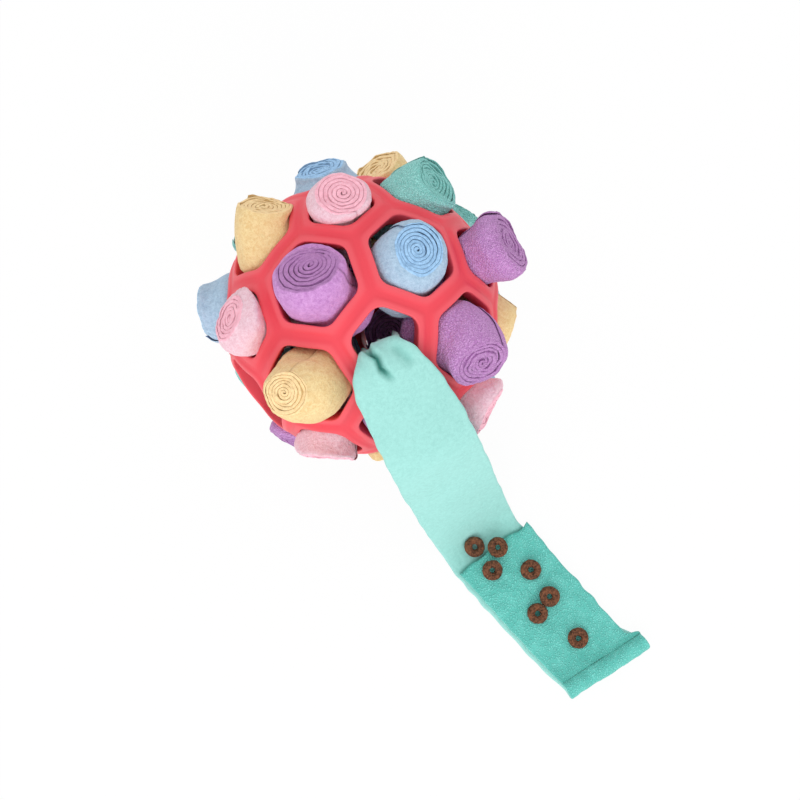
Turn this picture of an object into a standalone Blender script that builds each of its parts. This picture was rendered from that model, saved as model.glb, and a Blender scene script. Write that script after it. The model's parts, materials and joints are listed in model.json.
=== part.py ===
"""Dog snuffle ball: a hollow rubber ball of 12 pentagon and 20 hexagon openings.

Every opening but one holds a fleece strip rolled up on itself and squeezed by the rim. The
last strip, in a pentagon on top, is pulled out and unrolled: it is gathered in its opening,
hangs down over the ball, lies along the floor and is folded back with ring treats on it.
The floor is z = 0, and the model is moved so that the origin is the centre of its base.
"""
import math

import bmesh
import bpy
import numpy as np
from mathutils import Matrix, Vector

# Rubber ball, in metres
BALL_RADIUS = 0.060         # to the junctions of the struts
BALL_WALL = 0.008           # depth of a strut from outside to inside
STRUT_WIDTH = 0.011         # across the outer face of a strut
STRUT_ROUND = 0.0022        # rounding along the edges of the struts
LIP_RISE = 0.0005           # how far the lip round an opening stands proud
CORNER_PULL = 0.0014        # how far an opening's corners are drawn in to round them
STAND_HEIGHT = 0.011        # clear height under the ball, which the lowest rolls fill

# How the ball lies: the axis of the strip's opening, and the turn about that axis
STRIP_AZIMUTH = math.radians(-64.4)
STRIP_ELEVATION = math.radians(64.0)
BALL_TWIST = math.radians(27.5)

# Fleece strips and the rolls they are wound into
FLEECE = 0.0024             # thickness of the fleece
STRIP_WIDTH = 0.043         # width of the strip when it lies flat
ROLL_RADIUS = 0.0165        # a roll before it is squeezed
ROLL_CORE = 0.0020          # radius of the strip's middle line at the heart of a roll
ROLL_REACH = 0.015          # how far a full roll stands out of the ball
ROLL_TUCK = 0.016           # how far a roll goes in behind the wall
ROLL_FIT = 0.0006           # clearance between a roll and the rim that holds it
TURN_GAP = 0.00050          # gap between two turns
CHORD_SAG = 0.00100         # how far a facet of a turn departs from its arc
SEAT_CUT = 0.0005           # depth of the flat on the rolls that the ball stands on
HEX_INNER_SHARE = 0.335     # inner end of a roll over its distance from the ball's centre
PENT_INNER_SHARE = 0.245
BELLY_PLACE_SHARE = 0.52    # place of a roll's belly between the rim and its end
BELLY_LEAN_SHARE = 0.42     # part of a roll's lean that its belly has
BENT_SHARE = 0.50           # of the fleece, past which a lean bends the inner turns too
FLAP_STEPS = 2              # facets of the free flap at a roll's outer end

# Unrolled strip
DRAPE_ACROSS = math.radians(26)     # direction across the strip where it hangs
FLOOR_ACROSS = math.radians(36)     # and where it lies on the floor
LAYER_GAP = 0.0005          # between the strip on the floor and the part folded back on it
LOOP_RADIUS = 0.0038        # of the loop at the fold
LOOP_RUN = 0.0105           # from the loop's top down to the layer below
GATHER_DEPTH = 0.0034       # half the depth of the gathers in the opening
CROWN_RISE = 0.0015         # how far the hanging strip arches across its width

# Ring treats
TREAT_RING = 0.00325        # from a treat's centre to the middle of its ring
TREAT_BODY = 0.0016         # half the thickness of the ring
TREAT_TILT = math.radians(15)
REST_GAP = 0.0003           # between a treat and the fleece it lies on

# Unit sizes of a truncated icosahedron whose edge is 1
UNIT_CIRCUMRADIUS = math.sqrt(58 + 18 * math.sqrt(5)) / 4
UNIT_HEX_INRADIUS = math.sqrt(3) / 2
UNIT_PENT_INRADIUS = 0.5 / math.tan(math.pi / 5)

LIFT = BALL_RADIUS + STAND_HEIGHT
EDGE = BALL_RADIUS / UNIT_CIRCUMRADIUS
OPENING = {6: EDGE * UNIT_HEX_INRADIUS - STRUT_WIDTH / 2, 5: EDGE * UNIT_PENT_INRADIUS - STRUT_WIDTH / 2}
PITCH = FLEECE + TURN_GAP + CHORD_SAG

COLOURS = {
    "coral_rubber": (0.86, 0.07, 0.10),
    "purple_fleece": (0.56, 0.30, 0.73),
    "blue_fleece": (0.45, 0.68, 0.85),
    "pink_fleece": (0.94, 0.52, 0.64),
    "yellow_fleece": (0.98, 0.75, 0.38),
    "teal_fleece": (0.30, 0.82, 0.70),
    "mint_fleece": (0.42, 0.88, 0.77),
    "brown_biscuit": (0.13, 0.045, 0.02),
}

# Rolls: azimuth and elevation of the opening in degrees, colour, then as shares: reach of
# ROLL_REACH, belly and end radius of the opening, lean to the east and the north of the reach
ROLL_SHARES = (
    (180, 72, "purple", 0.95, 1.07, 0.84, -0.03, 0.12),
    (31, 65, "blue", 0.90, 0.97, 0.72, -0.20, 0.35),
    (103, 52, "pink", 0.75, 1.20, 0.96, 0.04, 0.45),
    (64, 28, "teal", 0.85, 1.00, 0.86, -0.35, 0.30),
    (148, 34, "yellow", 0.90, 0.90, 0.82, -0.40, 0.45),
    (-166, 35, "pink", 0.80, 1.24, 0.93, -0.10, 0.40),
    (-118, 42, "yellow", 0.95, 1.03, 0.58, -0.35, 0.18),
    (-22, 37, "purple", 1.00, 1.02, 0.68, -0.50, 0.28),
    (21, 28, "purple", 1.00, 1.20, 1.06, 0.00, -0.08),
    (107, 15, "blue", 0.55, 0.94, 0.82, -0.10, 0.20),
    (177, 2, "blue", 0.90, 0.92, 0.80, 0.00, 0.00),
    (-3, -2, "yellow", 0.65, 0.90, 0.72, 0.00, 0.00),
    (-40, 3, "pink", 0.85, 1.20, 1.10, 0.00, 0.00),
    (-104, 7, "pink", 0.50, 1.16, 1.06, 0.10, 0.00),
    (-116, -28, "purple", 0.70, 1.00, 0.85, 0.00, 0.00),
    (-141, 6, "teal", -0.20, 0.96, 0.90, 0.00, 0.00),
    (-70, 27, "purple", -0.10, 0.96, 0.90, 0.00, 0.00),
    (-73, -15, "yellow", 0.35, 0.98, 0.86, 0.00, 0.00),
    (140, -3, "teal", 0.70, 1.20, 1.00, 0.00, 0.00),
    (39, -6, "teal", 0.65, 1.00, 0.84, 0.15, 0.00),
    (76, -7, "yellow", 0.90, 1.20, 1.08, 0.08, 0.00),
    (-159, -28, "teal", 0.80, 1.20, 1.00, 0.00, 0.00),
    (-32, -34, "blue", 0.85, 1.02, 0.86, 0.00, 0.00),
    (14, -35, "teal", 0.80, 1.20, 1.00, 0.00, 0.00),
    (-77, -52, "pink", 0.80, 1.18, 1.00, 0.00, 0.00),
    (110, -27, "purple", 0.90, 1.02, 0.86, 0.00, 0.00),
    (158, -37, "yellow", 0.85, 1.00, 0.82, 0.00, 0.00),
    (62, -42, "pink", 0.80, 1.03, 0.86, 0.00, 0.00),
    (-149, -65, "blue", None, 1.03, 0.86, 0.00, 0.00),
    (0, -72, "purple", None, 1.02, 0.86, 0.00, 0.00),
    (116, -64, "yellow", None, 1.18, 1.02, 0.00, 0.00),
)

# Hanging strip: its middle line from the ball's centre over BALL_RADIUS, and the strip's
# width there over STRIP_WIDTH, the depth of its gathers over GATHER_DEPTH, and its crown
DRAPE_SHARES = (
    (0.168, -0.427, 0.926, 0.43, 0.90, 0.0),
    (0.198, -0.505, 0.935, 0.56, 0.60, 0.3),
    (0.227, -0.585, 0.900, 0.72, 0.34, 0.7),
    (0.300, -0.704, 0.790, 0.83, 0.12, 1.0),
    (0.365, -0.813, 0.690, 0.87, 0.00, 1.0),
    (0.423, -0.925, 0.605, 0.90, 0.00, 1.0),
    (0.492, -1.045, 0.470, 0.94, 0.00, 1.0),
    (0.569, -1.137, 0.183, 0.97, 0.00, 0.8),
    (0.645, -1.220, -0.200, 0.98, 0.00, 0.6),
    (0.727, -1.318, -0.600, 1.00, 0.00, 0.4),
    (0.790, -1.390, -0.860, 1.00, 0.00, 0.2),
    (0.832, -1.442, -1.030, 1.00, 0.00, 0.0),
    (0.870, -1.490, -1.130, 1.00, 0.00, 0.0),
)
LANDING_SHARES = (0.905, -1.530)    # where the strip lies flat on the floor
SEAM_SHARES = (0.999, -1.616)       # below the strip's own end
LIP_SHARES = (1.832, -2.511)        # where the strip turns back

# Treats: their places from the ball's centre over BALL_RADIUS, the layer they lie on, and
# their tilt over TREAT_TILT
TREAT_SHARES = (
    (0.862, -1.612, 1, 1.0),
    (1.068, -1.645, 2, 0.0),
    (0.990, -1.802, 2, 0.8),
    (1.295, -1.785, 2, 0.0),
    (1.438, -1.992, 2, 0.0),
    (1.337, -2.132, 2, 0.0),
    (1.657, -2.315, 2, 0.0),
)


def material(name):
    """A plain finish in one of the object's colours."""
    if name in bpy.data.materials:
        return bpy.data.materials[name]
    finish = bpy.data.materials.new(name)
    finish.use_nodes = True
    shader = finish.node_tree.nodes["Principled BSDF"]
    shader.inputs["Base Color"].default_value = (*COLOURS[name], 1)
    shader.inputs["Roughness"].default_value = 0.45 if name == "coral_rubber" else 0.95
    shader.inputs["Metallic"].default_value = 0
    return finish


def add_object(name, mesh, colour, collection, parent):
    """Adds a mesh as one sub-part with its own material, shaded smooth up to sharp edges."""
    part = bpy.data.objects.new(name, mesh)
    collection.objects.link(part)
    part.parent = parent
    if not mesh.materials:
        mesh.materials.append(material(colour))
    mesh.shade_smooth()
    mesh.set_sharp_from_angle(angle=math.radians(50))
    return part


def mesh_from(bm, name):
    """Turns the faces of a closed body outwards and stores it."""
    bmesh.ops.recalc_face_normals(bm, faces=bm.faces[:])
    mesh = bpy.data.meshes.new(name)
    bm.to_mesh(mesh)
    bm.free()
    return mesh


def ball_turn():
    """The rotation that brings one pentagon of the ball up to the strip's opening."""
    lean = Matrix.Rotation(math.pi / 2 - STRIP_ELEVATION, 3, "Y")
    return Matrix.Rotation(STRIP_AZIMUTH, 3, "Z") @ lean @ Matrix.Rotation(BALL_TWIST, 3, "Z")


def opening_axes():
    """The sides and the axis of each opening: pentagons at an icosahedron's corners,
    hexagons at its faces."""
    bm = bmesh.new()
    bmesh.ops.create_icosphere(bm, subdivisions=1, radius=1)
    turn = ball_turn()
    axes = [(5, turn @ corner.co.normalized()) for corner in bm.verts]
    axes += [(6, turn @ face.calc_center_median().normalized()) for face in bm.faces]
    bm.free()
    return axes


def find_opening(axes, azimuth, elevation):
    """The opening whose axis is nearest to a direction given in degrees."""
    around = math.radians(azimuth)
    above = math.radians(elevation)
    flat = math.cos(above)
    wanted = Vector((flat * math.cos(around), flat * math.sin(around), math.sin(above)))
    return max(axes, key=lambda opening: opening[1].dot(wanted))


def make_ball(collection, parent):
    """The rubber ball: struts between 32 rounded openings, as one moulding."""
    bm = bmesh.new()
    bmesh.ops.create_icosphere(bm, subdivisions=1, radius=1)
    bmesh.ops.bevel(bm, geom=bm.verts[:], offset=100 / 3, offset_type="PERCENT", segments=1,
                    affect="VERTICES")
    bmesh.ops.subdivide_edges(bm, edges=bm.edges[:], cuts=1)
    for vert in bm.verts:
        vert.co = vert.co.normalized() * BALL_RADIUS
    inward = bm.verts.layers.float_vector.new("inward")
    rings = bmesh.ops.inset_individual(bm, faces=bm.faces[:], thickness=STRUT_WIDTH / 2,
                                       use_even_offset=True)["faces"]
    ring_faces = set(rings)
    openings = [face for face in bm.faces if face not in ring_faces]
    for vert in bm.verts:
        vert[inward] = vert.co.normalized()
    for face in openings:
        axis = face.calc_center_median().normalized()
        reach = {vert: (vert.co - axis * vert.co.dot(axis)).length for vert in face.verts}
        middle = sum(reach.values()) / len(reach)
        for vert in face.verts:
            if reach[vert] > middle:
                out = vert.co - axis * vert.co.dot(axis)
                vert.co -= out.normalized() * CORNER_PULL
            vert.co = vert.co.normalized() * (BALL_RADIUS + LIP_RISE)
            vert[inward] = axis
    bmesh.ops.delete(bm, geom=openings, context="FACES_ONLY")
    inside = bmesh.ops.extrude_face_region(bm, geom=bm.faces[:])["geom"]
    for vert in inside:
        if isinstance(vert, bmesh.types.BMVert):
            vert.co -= vert[inward] * BALL_WALL
    ball = add_object("rubber_ball", mesh_from(bm, "rubber_ball"), "coral_rubber", collection, parent)
    ball.location = (0, 0, LIFT)
    ball.rotation_euler = ball_turn().to_euler()
    rounding = ball.modifiers.new("rounded struts", "BEVEL")
    rounding.width = STRUT_ROUND
    rounding.segments = 2
    rounding.limit_method = "ANGLE"
    rounding.angle_limit = math.radians(60)
    return ball


def spiral():
    """The middle line of a wound strip, from its free end to its heart, as radii and angles.

    The radius falls by PITCH a turn. The step between two points follows from CHORD_SAG.
    """
    start = ROLL_RADIUS + PITCH / 4 - FLEECE / 2
    rate = 2 * math.pi / PITCH
    span = start ** 1.5 - ROLL_CORE ** 1.5
    steps = math.ceil(rate * span * 2 / 3 / math.sqrt(8 * CHORD_SAG))
    radius = (start ** 1.5 - span * np.arange(steps + 1) / steps) ** (2 / 3)
    return radius, (start - radius) * rate


def ring_lines(radius, angle, size):
    """Points of the outer and the inner side of the wound strip where a roll has one size."""
    squeeze = size / ROLL_RADIUS
    half = (FLEECE * squeeze - TURN_GAP * (1 - squeeze)) / 2
    across = np.stack([np.cos(angle), np.sin(angle), np.zeros_like(angle)], axis=1)
    middle = across * radius[:, None] * squeeze
    middle[:, 0] -= PITCH / 4 * squeeze
    return middle + across * half, middle - across * half


def least_gap(radius, angle, size):
    """The least distance between two turns of a roll, measured on points along its facets."""
    outer, inner = ring_lines(radius, angle, size)
    share = np.linspace(0, 1, 9)[:, None, None]
    lines = [(line[:-1] * (1 - share) + line[1:] * share).reshape(-1, 3) for line in (outer, inner)]
    turns = (angle[:-1] * (1 - share[..., 0]) + angle[1:] * share[..., 0]).ravel()
    apart = np.linalg.norm(lines[0][:, None] - lines[1][None], axis=2)
    apart[abs(turns[:, None] - turns[None]) < math.pi] = np.inf
    return apart.min()


def roll_rings(sides, axis, reach_share, belly_share, end_share, lean):
    """Height from the ball's centre, radius and lean of a roll's four rings: its inner end,
    the rim that squeezes it, its belly and its outer end. A roll without a reach stands on
    the floor."""
    opening = OPENING[sides]
    inner_height = BALL_RADIUS - BALL_WALL - ROLL_TUCK
    inner_share = HEX_INNER_SHARE if sides == 6 else PENT_INNER_SHARE
    rim = opening - ROLL_FIT
    end = opening * end_share
    if reach_share is None:
        down = -axis.z
        end_height = (LIFT + SEAT_CUT - end * math.sqrt(1 - down * down)) / down
    else:
        end_height = BALL_RADIUS + ROLL_REACH * reach_share
    mouth = math.sqrt((BALL_RADIUS + LIP_RISE) ** 2 - opening ** 2)
    rim_height = min(mouth, (inner_height + end_height * 2) / 3)
    belly_height = rim_height + (end_height - rim_height) * BELLY_PLACE_SHARE
    shift = lean * max(end_height - BALL_RADIUS, 0)
    return (
        (inner_height, min(inner_height * inner_share, rim), Vector((0, 0)), 0),
        (rim_height, rim, Vector((0, 0)), 0),
        (belly_height, opening * belly_share, shift * BELLY_LEAN_SHARE, 0.5),
        (end_height, end, shift, 1),
    )


def make_roll(name, colour, frame, rings, lean, collection, parent):
    """A strip wound into a spiral and carried through the rings of a roll.

    The outer face of the first turn and the inner face of its free flap run through all four
    rings. The turns inside run straight from end to end, or bend at the rim of a leaning roll.
    """
    radius, angle = spiral()
    last = len(radius) - 1
    origin = rings[1][0]
    upright = Vector((0, 0, 1))
    rim_share = (origin - rings[0][0]) / (rings[3][0] - rings[0][0])
    bent = rings[3][2].length * rim_share > FLEECE * rings[1][1] / ROLL_RADIUS * BENT_SHARE
    bm = bmesh.new()
    outer = []
    inner = []
    for height, size, shift, tilt in rings:
        heading = upright.rotation_difference(Vector((lean.x * tilt, lean.y * tilt, 1))).to_matrix()
        turned = Vector((shift.x, shift.y, height - origin))
        lines = ring_lines(radius, angle, size)
        outer.append([bm.verts.new(heading @ Vector(point) + turned) for point in lines[0]])
        inner.append([bm.verts.new(heading @ Vector(point) + turned) for point in lines[1]])
    for line in (outer, inner):
        for ring in range(3):
            for step in range(last):
                bm.faces.new((line[ring][step], line[ring][step + 1],
                              line[ring + 1][step + 1], line[ring + 1][step]))
    for ring in (0, 3):
        for step in range(last):
            bm.faces.new((outer[ring][step], outer[ring][step + 1],
                          inner[ring][step + 1], inner[ring][step]))
    for step in (0, last):
        for ring in range(3):
            bm.faces.new((outer[ring][step], outer[ring + 1][step],
                          inner[ring + 1][step], inner[ring][step]))
    first_turn = int(np.searchsorted(angle, 2 * math.pi))
    dropped = set()
    for ring in (2,) if bent else (1, 2):
        dropped.update(zip(inner[ring][FLAP_STEPS:-1], inner[ring][FLAP_STEPS + 1:]))
        dropped.update(zip(outer[ring][first_turn:-1], outer[ring][first_turn + 1:]))
        dropped.add((outer[ring][last], inner[ring][last]))
    edges = [bm.edges.get(pair) for pair in dropped]
    bmesh.ops.dissolve_edges(bm, edges=edges, use_verts=True)
    bmesh.ops.triangulate(bm, faces=[face for face in bm.faces if len(face.verts) > 4],
                          ngon_method="EAR_CLIP")
    roll = add_object(name, mesh_from(bm, name), f"{colour}_fleece", collection, parent)
    place = frame.to_4x4()
    place.translation = Vector((0, 0, LIFT)) + frame.col[2] * origin
    roll.matrix_local = place
    return roll


def make_rolls(collection, parent, cutters):
    """One wound strip in each opening that the table names, and the flats they stand on."""
    axes = opening_axes()
    counts = {}
    gaps = []
    radius, angle = spiral()
    floor = floor_cutter(cutters, parent)
    for azimuth, elevation, colour, reach, belly, end, east_share, north_share in ROLL_SHARES:
        sides, axis = find_opening(axes, azimuth, elevation)
        east = Vector((0, 0, 1)).cross(axis).normalized()
        frame = Matrix((east, axis.cross(east), axis)).transposed()
        lean = Vector((east_share, north_share))
        rings = roll_rings(sides, axis, reach, belly, end, lean)
        counts[colour] = counts.get(colour, 0) + 1
        name = f"{colour}_roll_{counts[colour]}"
        roll = make_roll(name, colour, frame, rings, lean, collection, parent)
        gaps += [least_gap(radius, angle, ring[1]) for ring in rings]
        if reach is None:
            flat = roll.modifiers.new("flat on the floor", "BOOLEAN")
            flat.operation = "DIFFERENCE"
            flat.object = floor
    print(f"least gap between the turns of a roll: {min(gaps) * 1000:.2f} mm")


def floor_cutter(collection, parent):
    """A block below the floor that cuts the flats on the lowest rolls."""
    bm = bmesh.new()
    bmesh.ops.create_cube(bm, size=BALL_RADIUS * 2)
    cutter = bpy.data.objects.new("below_the_floor", mesh_from(bm, "below_the_floor"))
    collection.objects.link(cutter)
    cutter.parent = parent
    cutter.location = (0, 0, -BALL_RADIUS)
    cutter.hide_render = True
    cutter.display_type = "WIRE"
    return cutter


def strip_stations():
    """Middle line of the unrolled strip from its tucked end to the end that is folded back:
    place, width, gathers, crown, and how far the strip has turned from hanging to lying."""
    axis = ball_turn() @ Vector((0, 0, 1))
    centre = Vector((0, 0, LIFT))
    root_width = STRIP_WIDTH * DRAPE_SHARES[0][3]
    inner = BALL_RADIUS - BALL_WALL - ROLL_TUCK
    stations = [(centre + axis * inner, root_width * 0.85, GATHER_DEPTH * 0.9, 0, 0)]
    stations.append((centre + axis * (BALL_RADIUS - BALL_WALL), root_width * 0.92, GATHER_DEPTH, 0, 0))
    for x, y, z, width, gather, crown in DRAPE_SHARES:
        place = centre + Vector((x, y, z)) * BALL_RADIUS
        stations.append((place, STRIP_WIDTH * width, GATHER_DEPTH * gather, CROWN_RISE * crown, 0))
    low = FLEECE / 2
    high = FLEECE * 1.5 + LAYER_GAP
    landing, seam, lip = (Vector((*share, 0)) * BALL_RADIUS
                          for share in (LANDING_SHARES, SEAM_SHARES, LIP_SHARES))
    along = (lip - seam).normalized()
    rise = Vector((0, 0, 1))
    for share, turned in ((0, 0.35), (0.5, 0.8), (1, 1)):
        stations.append((landing.lerp(seam, share) + rise * low, STRIP_WIDTH, 0, 0, turned))
    stations.append((seam.lerp(lip, 0.5) + rise * low, STRIP_WIDTH, 0, 0, 1))
    stations.append((lip + rise * low, STRIP_WIDTH, 0, 0, 1))
    for degrees in (-60, -30, 0, 30, 60, 90):
        bend = math.radians(degrees)
        place = lip + along * LOOP_RADIUS * math.cos(bend)
        place += rise * (low + LOOP_RADIUS * (1 + math.sin(bend)))
        stations.append((place, STRIP_WIDTH, 0, 0, 1))
    top = low + LOOP_RADIUS * 2
    for share in (0.35, 0.7, 1):
        fall = (1 - math.cos(math.pi * share)) / 2
        place = lip - along * LOOP_RUN * share + rise * (top + (high - top) * fall)
        stations.append((place, STRIP_WIDTH, 0, 0, 1))
    for share in (0.5, 0):
        stations.append((seam.lerp(lip, share) + rise * high, STRIP_WIDTH, 0, 0, 1))
    return stations


def make_strip(collection, parent):
    """The unrolled strip: a ribbon with four folds across at its gathered root."""
    stations = strip_stations()
    places = [station[0] for station in stations]
    bm = bmesh.new()
    rows = []
    for index, (place, width, gather, crown, turned) in enumerate(stations):
        ahead = places[min(index + 1, len(places) - 1)] - places[max(index - 1, 0)]
        azimuth = DRAPE_ACROSS + (FLOOR_ACROSS - DRAPE_ACROSS) * turned
        across = Vector((math.cos(azimuth), math.sin(azimuth), 0))
        up = ahead.cross(across).normalized()
        row = []
        for column in range(5):
            side = column / 2 - 1
            fold = gather if column % 2 == 0 else -gather
            arch = crown * (1 - side * side)
            row.append(bm.verts.new(place + across * side * width / 2 + up * (fold + arch)))
        rows.append(row)
    for row, following in zip(rows, rows[1:]):
        for column in range(4):
            bm.faces.new((row[column], row[column + 1], following[column + 1], following[column]))
    mesh = mesh_from(bm, "teal_strip")
    strip = add_object("teal_strip", mesh, "mint_fleece", collection, parent)
    solid = strip.modifiers.new("fleece thickness", "SOLIDIFY")
    solid.thickness = FLEECE
    solid.offset = 0
    return strip


def make_treats(collection, parent):
    """Ring treats that lie on the strip, on its single layer or on the part folded back."""
    levels = {1: FLEECE, 2: FLEECE * 2 + LAYER_GAP}
    for number, (x, y, layer, lean) in enumerate(TREAT_SHARES, 1):
        bpy.ops.mesh.primitive_torus_add(major_segments=12, minor_segments=6, major_radius=TREAT_RING,
                                         minor_radius=TREAT_BODY)
        ring = bpy.context.object
        mesh = ring.data
        bpy.data.objects.remove(ring)
        name = f"ring_treat_{number}"
        mesh.name = name
        treat = add_object(name, mesh, "brown_biscuit", collection, parent)
        tilt = TREAT_TILT * lean
        height = levels[layer] + REST_GAP + TREAT_BODY + TREAT_RING * math.sin(tilt)
        treat.location = (x * BALL_RADIUS, y * BALL_RADIUS, height)
        treat.rotation_euler = (tilt, 0, FLOOR_ACROSS)


def centre_base(collection, parent):
    """Moves the model so that the origin is the centre of its base."""
    depsgraph = bpy.context.evaluated_depsgraph_get()
    corners = []
    for part in collection.objects:
        shown = part.evaluated_get(depsgraph)
        mesh = shown.to_mesh()
        corners += [shown.matrix_world @ vert.co for vert in mesh.vertices]
        shown.to_mesh_clear()
    spans = [(min(point[side] for point in corners), max(point[side] for point in corners))
             for side in range(3)]
    parent.location = (-sum(spans[0]) / 2, -sum(spans[1]) / 2, -spans[2][0])
    bpy.context.view_layer.update()


def main():
    """Builds the ball, its rolls, the unrolled strip and the treats."""
    for item in list(bpy.data.objects):
        bpy.data.objects.remove(item)
    collection = bpy.data.collections.new("dog_snuffle_ball")
    cutters = bpy.data.collections.new("cutters")
    for group in (collection, cutters):
        bpy.context.scene.collection.children.link(group)
    base = bpy.data.objects.new("base", None)
    bpy.context.scene.collection.objects.link(base)
    make_ball(collection, base)
    make_rolls(collection, base, cutters)
    make_strip(collection, base)
    make_treats(collection, base)
    bpy.context.view_layer.update()
    centre_base(collection, base)


main()
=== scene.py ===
"""Dog snuffle ball: a rubber ball whose openings each hold a rolled fleece strip.

One strip is pulled out and unrolled over the ball and the floor, with ring treats on it.
"""
import itertools
import json
import math

import bmesh
import bpy
import numpy as np
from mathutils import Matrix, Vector


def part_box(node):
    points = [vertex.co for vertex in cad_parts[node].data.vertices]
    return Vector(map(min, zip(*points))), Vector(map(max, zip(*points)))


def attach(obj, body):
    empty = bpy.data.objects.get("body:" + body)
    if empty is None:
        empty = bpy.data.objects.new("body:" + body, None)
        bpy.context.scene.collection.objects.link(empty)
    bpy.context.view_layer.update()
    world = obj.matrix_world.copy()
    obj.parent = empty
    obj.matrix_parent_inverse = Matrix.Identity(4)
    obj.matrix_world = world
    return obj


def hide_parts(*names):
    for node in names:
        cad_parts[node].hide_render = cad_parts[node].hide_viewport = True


bl_info = {
    "name": "Dog snuffle ball",
    "version": (1, 0, 0),
    "blender": (4, 5, 0),
    "location": "View3D > Sidebar > Snuffle ball",
    "description": "Rubber ball with rolled fleece strips, one strip unrolled, and ring treats",
    "category": "Object",
}

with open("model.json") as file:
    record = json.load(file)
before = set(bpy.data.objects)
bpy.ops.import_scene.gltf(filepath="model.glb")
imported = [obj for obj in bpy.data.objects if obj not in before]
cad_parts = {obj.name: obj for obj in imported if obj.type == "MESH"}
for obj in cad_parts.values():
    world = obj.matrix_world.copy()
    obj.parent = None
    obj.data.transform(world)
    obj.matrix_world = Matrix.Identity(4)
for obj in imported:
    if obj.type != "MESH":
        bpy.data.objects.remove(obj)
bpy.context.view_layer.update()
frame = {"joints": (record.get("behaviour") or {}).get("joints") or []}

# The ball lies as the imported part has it
BALL_CORNERS = [np.array(corner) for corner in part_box("rubber_ball")]
CENTRE = (BALL_CORNERS[0] + BALL_CORNERS[1]) / 2
STRIP_AZIMUTH = math.radians(-64.4)
STRIP_ELEVATION = math.radians(64.0)
BALL_TWIST = math.radians(27.5)
EMPTY_AXIS = np.array((math.cos(STRIP_ELEVATION) * math.cos(STRIP_AZIMUTH),
                       math.cos(STRIP_ELEVATION) * math.sin(STRIP_AZIMUTH),
                       math.sin(STRIP_ELEVATION)))
UNIT_CIRCUMRADIUS = math.sqrt(58 + 18 * math.sqrt(5)) / 4
UNIT_INRADIUS = {5: 0.5 / math.tan(math.pi / 5), 6: math.sqrt(3) / 2}
ROLL_TUCK = 0.016                   # how far a roll goes in behind the wall
FLOOR_SINK = 0.0005                 # how far the lowest rolls are pressed flat by the floor
INNER_SHARE = {5: 0.282, 6: 0.360}  # inner end of a roll over its distance from the centre
RIM_SLACK = {5: 0.0003, 6: 0.0009}  # gap between a roll and the rim of its opening
TURNS_SHARE = {5: 0.85, 6: 1.0}     # turns of a roll over those of the largest
BELLY_PLACE = 0.66                  # place of the belly between the rim and the outer face
BELLY_LEAN = 0.42                   # part of a roll's lean that its belly has
BELLY_FULLNESS = 1.04               # drawn radius of the belly over the listed one
FACE_FULLNESS = 1.10                # and of the outer face
EDGE_ROUNDING = 0.38                # rounding of a cut edge over half the thickness
EDGE_SOFTNESS = 0.0012              # height over which the outermost edge is drawn in
EDGE_COLUMNS = 8                    # points over a cut edge
HELD_OUTSIDE = 0.0040               # how far the squeeze of the rim reaches outwards
HELD_INSIDE = 0.0070                # and inwards
CORNER_FILL = 0.30                  # how far a roll fills an opening's corners at the rim
INNER_FILL = 0.90                   # and further in
TURN_FILL = 0.985                   # of its share of the radius that a turn fills
PEBBLE_MEAN = 0.4                   # height of the pebbles that leaves a surface in place
PEBBLE_HEIGHT = 0.00035             # of the curls on a rolled strip
MILLIMETRE = 0.001
# Unevenness as size, height and seed: of a roll's radius over itself, of its cut edge in
# metres, and of a treat's thickness over itself
RADIUS_WAVES = ((1.3, 0.022, 0), (0.55, 0.009, 5))
EDGE_WAVES = ((0.9, 0.00040, 1), (0.25, 0.00015, 2))
TREAT_WAVES = ((0.9, 0.05, 0), (0.35, 0.035, 1))
OVALITY = 0.025                     # how far a roll's face departs from a circle
PILE_STEP = {"brushed": 20, "pebbled": 26}      # points up one side of a roll's section
# Where the loose outer turn of a roll sags into the empty opening: how far, how high above the
# ball's centre, and over what height
SAGS = {"purple_roll_1": (0.0115, 0.0455, 0.0040), "blue_roll_1": (0.0120, 0.0440, 0.0042),
        "purple_roll_2": (0.0120, 0.0410, 0.0055)}
# Colour of the cut face from the side's: the power that makes it more saturated, and its share
FACE_TONES = {"purple": (1.13, 0.82), "blue": (1.75, 1.38), "pink": (1.60, 1.12),
              "yellow": (1.00, 1.10), "teal": (1.30, 0.88)}

# Directions of the picture on the stage, which the turned faces of the rolls are given in
PICTURE_RIGHT = np.array((1.0, 0.0, 0.0))
PICTURE_UP = np.array((0.0, math.sin(math.radians(80)), math.cos(math.radians(80))))
PICTURE_FRONT = np.cross(PICTURE_RIGHT, PICTURE_UP)

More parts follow.
